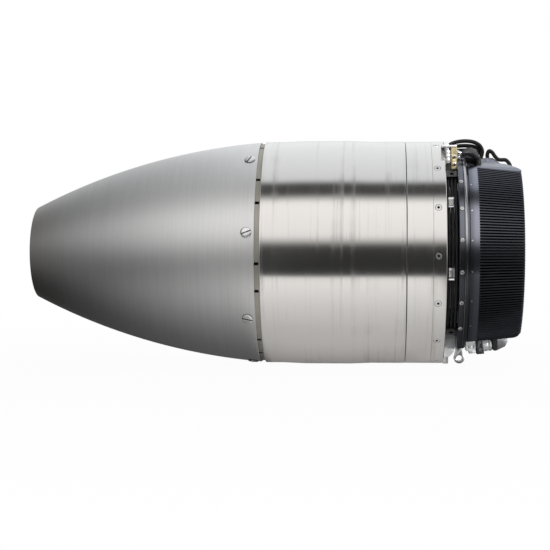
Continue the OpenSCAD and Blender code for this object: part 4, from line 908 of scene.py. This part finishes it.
def exhaust_nozzle():
    """One closed profile: along the skin from outlet to case, and back along the lining."""
    n, lip = 44, 0.3
    stations = [noz_x0 + lip + (noz_run - 2 * lip) * i / n for i in range(n + 1)]
    skin = [(x, noz_r(x)) for x in stations]
    lining = [(x, noz_r(x, noz_wall)) for x in reversed(stations)]
    insets = lip, noz_wall - lip
    rear_lip = [(noz_x0, noz_r(noz_x0, inset)) for inset in insets]
    front_lip = [(noz_x1, noz_r(noz_x1, inset)) for inset in insets]
    profile = rear_lip[:1] + skin + front_lip + lining + rear_lip[1:]
    fitted(spun("nozzle_sheet", profile, finish["nozzle_steel"], 320), "nozzle_steel", "exhaust_nozzle")


def nozzle_screws():
    """Slotted pan heads, each slot left at its own angle, square to the sheet."""
    along, half_slot, slot_floor = noz_x1 - 8.6, 0.7, 0.55
    head = lathed("pan_head", [(3.0, -6.0), (3.0, 0.05), (5.6, 0.05), (5.8, 0.2), (5.8, 0.75),
                               (5.62, 1.0), (5.1, 1.28), (4.0, 1.5), (2.2, 1.63), (0.0, 1.67)], 48)
    slot = prism("slot_tool", [(-7, -half_slot), (7, -half_slot), (7, half_slot), (-7, half_slot)],
                 slot_floor, 4.0)
    seat, lean = noz_r(along), math.asin((noz_cx - along) / noz_arc)
    # The slots get painted shade.
    coat = socket_screw("nozzle_screw_zinc", seat + 0.6, seat + 0.95, 0.1, math.tan(lean), along)
    heads = ring_of("nozzle_pan_screws", cut(head, slot), coat, [(8, 10.5, 45.0)], along, seat,
                    turn=20.0, turn_step=47.0, lean=lean)
    fitted(heads, "screw_steel", "nozzle_screws")


exhaust_nozzle()
nozzle_screws()


# Combustion case: polished drum with a raised belt, and the front ring with its countersunk screws

def combustion_case():
    """The guard points near both ends keep the rounded edges from bending the light far inward."""
    band, bore, edge, guard = 124.0, 123.0, 0.5, 1.2
    belt_x0, belt_x1, rear_ramp, front_ramp = -33, 17, 25, 23
    profile = [(case_x0, band), (case_x0 + guard, band), (belt_x0 - rear_ramp, band), (belt_x0, case_r),
               (belt_x1, case_r), (belt_x1 + front_ramp, band), (case_x1 - guard, band), (case_x1, band),
               (case_x1, bore), (case_x0, bore)]
    drum = spun("case_drum", rounded(profile, edge), finish["polished_steel"], 320)
    fitted(drum, "polished_steel", "combustion_case")


ring_r, ring_x1 = 123.8, 119.0


def front_ring():
    """Ring with a seam, a scribed line and countersunk screws, in short steps where its holes are cut."""
    spigot_x, spigot_r, bore = 69.0, 122.9, 120.9
    seam_x, line_x, screw_x, groove, rear_edge, front_edge = 77.8, 105.0, 110.2, 0.4, 0.3, 0.5
    steps, steps_from, step = 13, 1.0, 0.7
    screws = [(15, -1.0, 24.0)]
    profile = [(spigot_x, spigot_r), (seam_x, spigot_r), (seam_x, ring_r - rear_edge),
               (seam_x + rear_edge, ring_r), (line_x - groove, ring_r), (line_x, ring_r - groove),
               (line_x + groove, ring_r)]
    profile += [(line_x + steps_from + step * i, ring_r) for i in range(steps)]
    profile += [(ring_x1 - front_edge, ring_r), (ring_x1, ring_r - front_edge), (ring_x1, bore),
                (spigot_x, bore)]
    ring = spun("front_ring_band", profile, finish["polished_steel"], 480)
    hole = lathed("hole_tool", [(2.1, -4.0), (2.1, -2.0), (3.7, -0.4), (3.75, -0.35), (3.75, 1.0),
                                (0.0, 1.0)], 32)
    holes = ring_of("hole_tools", hole, finish["polished_steel"], screws, screw_x, ring_r)
    ring.data = cut(ring.data.copy(), holes.data.copy())
    bpy.data.objects.remove(holes)
    fitted(shaded(ring), "polished_steel", "case_front_ring")
    head = lathed("flat_head", [(2.0, -6.0), (2.0, -2.0), (3.3, -0.6), (3.35, -0.3), (3.2, -0.1),
                                (0.0, -0.05)], 40)
    head = cut(head, prism("hex_tool", hexagon(1.6), -2.0, 2.0))
    heads = ring_of("case_flat_screws", head, looks["ring_screw"], screws, screw_x, ring_r,
                    turn=10.0, turn_step=23.0)
    fitted(heads, "screw_steel", "case_screws")


combustion_case()
front_ring()


# Bay: hoses, clips, ports, lugs and eye

flange_x0, flange_r, flange_flat = 132.0, 117.6, 103.5
hose_path_r = 110.0


def bay_hoses():
    """Three hoses on the near side and one on the far side, each from port to port."""
    port_angle, half_port, clear, steps = 48, 4.5, 0.06, 64
    end = port_angle - math.degrees(math.asin(half_port / hose_path_r)) - clear
    rear, middle, front = 121.5, 125.5, 129.5

    def arc(x, centre):
        angles = [math.radians(centre - end + 2 * end * k / steps) for k in range(steps + 1)]
        return [(x, -hose_path_r * math.cos(a), hose_path_r * math.sin(a)) for a in angles]

    routes = [arc(x, 0) for x in (rear, middle, front)] + [arc(middle, 180)]
    swept("bay_hose_arcs", routes, 1.8, "hose_rubber", "bay_hoses")


def hose_clips():
    """Sprung saddles over the hoses: domed across them, curled up at both ends."""
    half_turn = hose_path_r * math.radians(3.4)
    n_along, n_across, gauge = 12, 20, 0.7
    clear, width, rise, foot, curl_rise, curl_from = 0.2, 9.2, 2.5, 0.1, 0.9, 0.62
    outer, inner = [], []
    for i in range(n_across + 1):
        s = 2 * i / n_across - 1
        curl = curl_rise * max(0.0, (abs(s) - curl_from) / (1 - curl_from)) ** 2
        for k in range(n_along + 1):
            t = k / n_along
            x = ring_x1 + clear + width * t
            dome = rise * (1 - (2 * t - 1) ** 4) ** 0.5 if 0 < t < 1 else 0.0
            z = hose_path_r + foot + dome + curl
            outer.append((x * mm, s * half_turn * mm, z * mm))
            inner.append((x * mm, s * half_turn * mm, (z - gauge) * mm))
    row, size = n_along + 1, len(outer)
    faces = []
    for i in range(n_across):
        for k in range(n_along):
            a, d = i * row + k, (i + 1) * row + k
            b, c = a + 1, d + 1
            faces += [(a, b, c, d), (size + a, size + d, size + c, size + b)]
    rim = list(range(row)) + [i * row + n_along for i in range(1, n_across + 1)]
    rim += [n_across * row + k for k in reversed(range(n_along))]
    rim += [i * row for i in reversed(range(1, n_across))]
    for k, a in enumerate(rim):
        b = rim[(k + 1) % len(rim)]
        faces.append((a, size + a, size + b, b))
    saddle = seed("saddle", outer + inner, [], faces)
    rows = [(2, -10.8, 39.5), (2, 151.3, 39.5)]
    saddles = ring_of("hose_saddles", saddle, finish["clip_steel"], rows, 0.0, 0.0, sharp=50)
    fitted(outward(saddles), "clip_steel", "hose_clips")


bay_hoses()
hose_clips()
# The hose ports' dark look is painted shade.
for block, look in (("hose_ports", "port"), ("mounting_lugs", "silver"), ("lifting_eye", None)):
    softened(block, "bare_aluminium", 0.5, look=look)


# Valve group, fittings and the cables over the cover

cover_x0, cover_x1, cover_r, cover_flat, roof_rise = 143.3, 201.3, 114.0, 93.0, 8.5
flat_taper = math.radians(5.0)
crown_r = (cover_r ** 2 - cover_flat ** 2 + roof_rise ** 2) / (2 * roof_rise)
power_boss, signal_boss = (18.2, -4.6), (27.5, 12.0)


def flat_h(x):
    """Height of the cover's flat under the crowned roof."""
    return cover_flat - (x - cover_x0) * math.tan(flat_taper)


def harness_hoses():
    """Three short hoses from the flange, side by side, down into the cover's flat."""
    pitch, shift, radius = 6.6, 8.0, 2.4
    x0, x1, z = flange_x0 + 5, cover_x0 + 12.7, flange_flat + 10.5 - pitch
    low = flat_h(x1)
    routes = []
    for i in (-1, 0, 1):
        y = -flange_r * math.cos(math.radians(60.5)) + pitch * i
        routes.append(smooth_route([
            (x0, y, z), (x0 + 4, y, z + 0.4), (x1 - 9, y + 0.2 * shift, z + 0.2),
            (x1 - 3.6, y + 0.7 * shift, z - 3.4), (x1 - 0.4, y + shift, low + 9.5),
            (x1, y + shift, low + 5), (x1, y + shift, low + 1)], 8))
    swept("harness_hose_set", routes, radius, "hose_rubber", "harness_hoses")


cable_r = 2.2


def power_cables():
    """Three conductors that loop from the boss on the roof over the bay, each inside the last."""
    boss_x, loop_x = cover_x0 + power_boss[0], ring_x1 + 3.2
    boss_z = flat_h(boss_x) + roof_rise + 4
    top, low = flange_flat, flange_flat - 10
    routes = []
    for y, rise in ((-10.0, 20.4), (-4.6, 15.6), (0.8, 10.8)):
        routes.append(smooth_route([
            (boss_x, y, boss_z - 8), (boss_x, y, boss_z - 3), (boss_x, y, boss_z + 1),
            (boss_x + 1.1, y, max(top + 0.26 * rise, boss_z + 3)),
            (boss_x + 1.4, y, top + 0.5 * rise), (boss_x - 1.5, y, top + 0.76 * rise),
            (boss_x - 8, y, top + 0.94 * rise), (boss_x - 17.5, y, top + rise),
            (boss_x - 27.5, y, top + 0.94 * rise), (loop_x + 4.4, y, top + 0.78 * rise),
            (loop_x + 0.8, y, top + 0.5 * rise), (loop_x, y, top + 2), (loop_x, y, top - 2),
            (loop_x + 1.6, y, low + 3.4), (loop_x + 5, y, low + 0.6), (flange_x0, y, low),
            (flange_x0 + 3.2, y, low)], 6))
    swept("power_cable_set", routes, cable_r, "cable_jacket", "power_cable")


def signal_cable():
    """One cable with a hump, from its boss along the roof to the front of the cover."""
    x, y, x2 = cover_x0 + signal_boss[0], signal_boss[1], cover_x1 - 5
    z, z2 = flat_h(x) + roof_rise + 6.9, flat_h(x2)
    route = smooth_route([
        (x, y, z - 8), (x, y, z - 2), (x - 0.4, y, z + 4), (x + 1.6, y, z + 8), (x + 5, y, z + 6.4),
        (x + 8, y, z + 2.2), (x + 11.5, y, z - 1.4), (x + 15.5, y, z - 2), (x + 20, y, z - 2.2),
        (x2 - 1.8, y, z2 + 12), (x2, y, z2 + 7), (x2, y, z2 + 1.3)], 8)
    swept("signal_cable_run", [route], cable_r, "cable_jacket", "signal_cable")


def block_of(name, outline, near_y, far_y, edge, coat, slot_name):
    """A piece with one outline seen from the side, in millimetres, with rounded edges."""
    n = len(outline)
    points = [(x * mm, y * mm, z * mm) for y in (near_y, far_y) for x, z in outline]
    faces = [tuple(range(n)), tuple(reversed(range(n, 2 * n)))]
    faces += [(k, (k + 1) % n, n + (k + 1) % n, n + k) for k in range(n)]
    obj = outward(placed(name, seed(name, points, [], faces)))
    work = obj.modifiers.new("edge", "BEVEL")
    work.width = edge * mm
    work.segments = 4
    work.limit_method = "ANGLE"
    work.angle_limit = math.radians(20)
    shaded(settled(obj), sharp=40).data.materials.append(coat)
    fitted(obj, slot_name)


def cable_boot():
    """Moulded boot behind the harness, where its hoses pass from the flange to the cover."""
    outline = [(137.6, 103.4), (138.0, 109.5), (141.5, 114.0), (148.0, 115.6), (154.0, 113.2),
               (157.4, 107.0), (158.4, 98.0), (143.5, 98.0), (141.4, 103.4)]
    block_of("harness_boot", outline, -40.0, -19.0, 1.6, finish["black_plastic"], "black_plastic")


def stay_plates():
    """Pressed stays in the bay, between the case ring and the cover's flange."""
    rear, front, near_y, far_y = ring_x1 + 0.1, flange_x0 - 0.1, -47.0, -44.0
    lower = [(rear, -85.5), (front, -88.5), (front, -103.0), (129.0, -110.0), (124.6, -113.6),
             (rear, -114.2)]
    upper = [(rear, 84.0), (front, 84.0), (front, 99.0), (rear, 99.0)]
    for name, outline in (("lower_stay_plate", lower), ("upper_stay_plate", upper)):
        block_of(name, outline, near_y, far_y, 0.8, looks["silver"], "bare_aluminium")


harness_hoses()
power_cables()
signal_cable()
cable_boot()
stay_plates()
softened("valve_block", "brass", 0.5)
softened("valve_bracket", "clip_steel", 0.4, look="silver")
softened("valve_fittings", "clip_steel", 0.25)
softened("fuel_valve", "bare_aluminium", 0.25, look="silver")


# Front cover and pump

def flange_screws():
    """Six button heads on each side, standing on the flange's rim."""
    count, step, middle = 6, 16.6, -1.3
    head = lathed("button_head", [(2.0, -2.0), (2.2, -1.9), (2.2, 0.35), (2.1, 0.62), (1.8, 0.85),
                                  (0.0, 0.95)], 32)
    head = cut(head, prism("hex_tool", hexagon(1.0), -0.4, 2.0))
    first = middle - (count - 1) / 2 * step
    rows = [(count, first, step), (count, 180 + first, step)]
    heads = ring_of("flange_button_screws", head, looks["rim_screw"], rows, flange_x0 + 2.9, flange_r,
                    turn=12.0, turn_step=31.0)
    fitted(heads, "screw_steel", "flange_screws")


def flange_lip():
    """Bead turned on the flange's front edge, on both sides between the flats."""
    profile = rounded([(138.1, 116.2), (138.1, 117.55), (138.5, 117.75), (139.6, 117.7), (140.7, 117.2),
                       (141.15, 116.3)], 0.25, 2)
    bead_r, clear = 117.8, 0.6
    reach = math.asin((flange_flat - clear) / bead_r)
    sides = [spun("lip_side", profile, looks["lip"], 96, middle - reach, 2 * reach)
             for middle in (0.0, math.pi)]
    fitted(joined("flange_lip_bead", sides), "black_anodised")


flange_screws()
flange_lip()
softened("cover_flange", "black_anodised", 0.3, axes=[engine_axis])
for shell in ("left_fin_shell", "right_fin_shell"):
    softened(shell, "black_anodised", 0.22, axes=[engine_axis])
crown = (Vector((cover_x0, 0.0, cover_flat + roof_rise - crown_r)) * mm,
         Vector((math.cos(flat_taper), 0.0, -math.sin(flat_taper))))
upright = Vector((0.0, 0.0, 1.0))
bosses = [(Vector((cover_x0 + x, y, 0.0)) * mm, upright) for x, y in (power_boss, signal_boss)]
# The roof's lighter look is a painted reflection.
softened("cover_roof", "black_anodised", 0.5, look="roof", axes=[crown, engine_axis] + bosses)
softened("cover_belly", "black_anodised", 0.5)
softened("front_plate", "black_anodised", 0.5, axes=[engine_axis])
softened("pump_head", "bare_aluminium", 0.5, look="silver")
softened("pump_strap", "black_anodised", 0.6)
softened("pump_motor", "bare_aluminium", 0.3, look="silver")
softened("pump_plug", "black_plastic", 0.9, 3, look="plug")


# Spool and guide pieces: the CAD shape with its blades shaded as curves

def blended(node_name, slot_name, body="engine"):
    fitted(shaded(copied(node_name), sharp=38), slot_name, node_name, body=body)


blended("compressor_wheel", "bare_aluminium", "spool")
blended("turbine_wheel", "hot_steel", "spool")
blended("guide_vanes", "hot_steel")
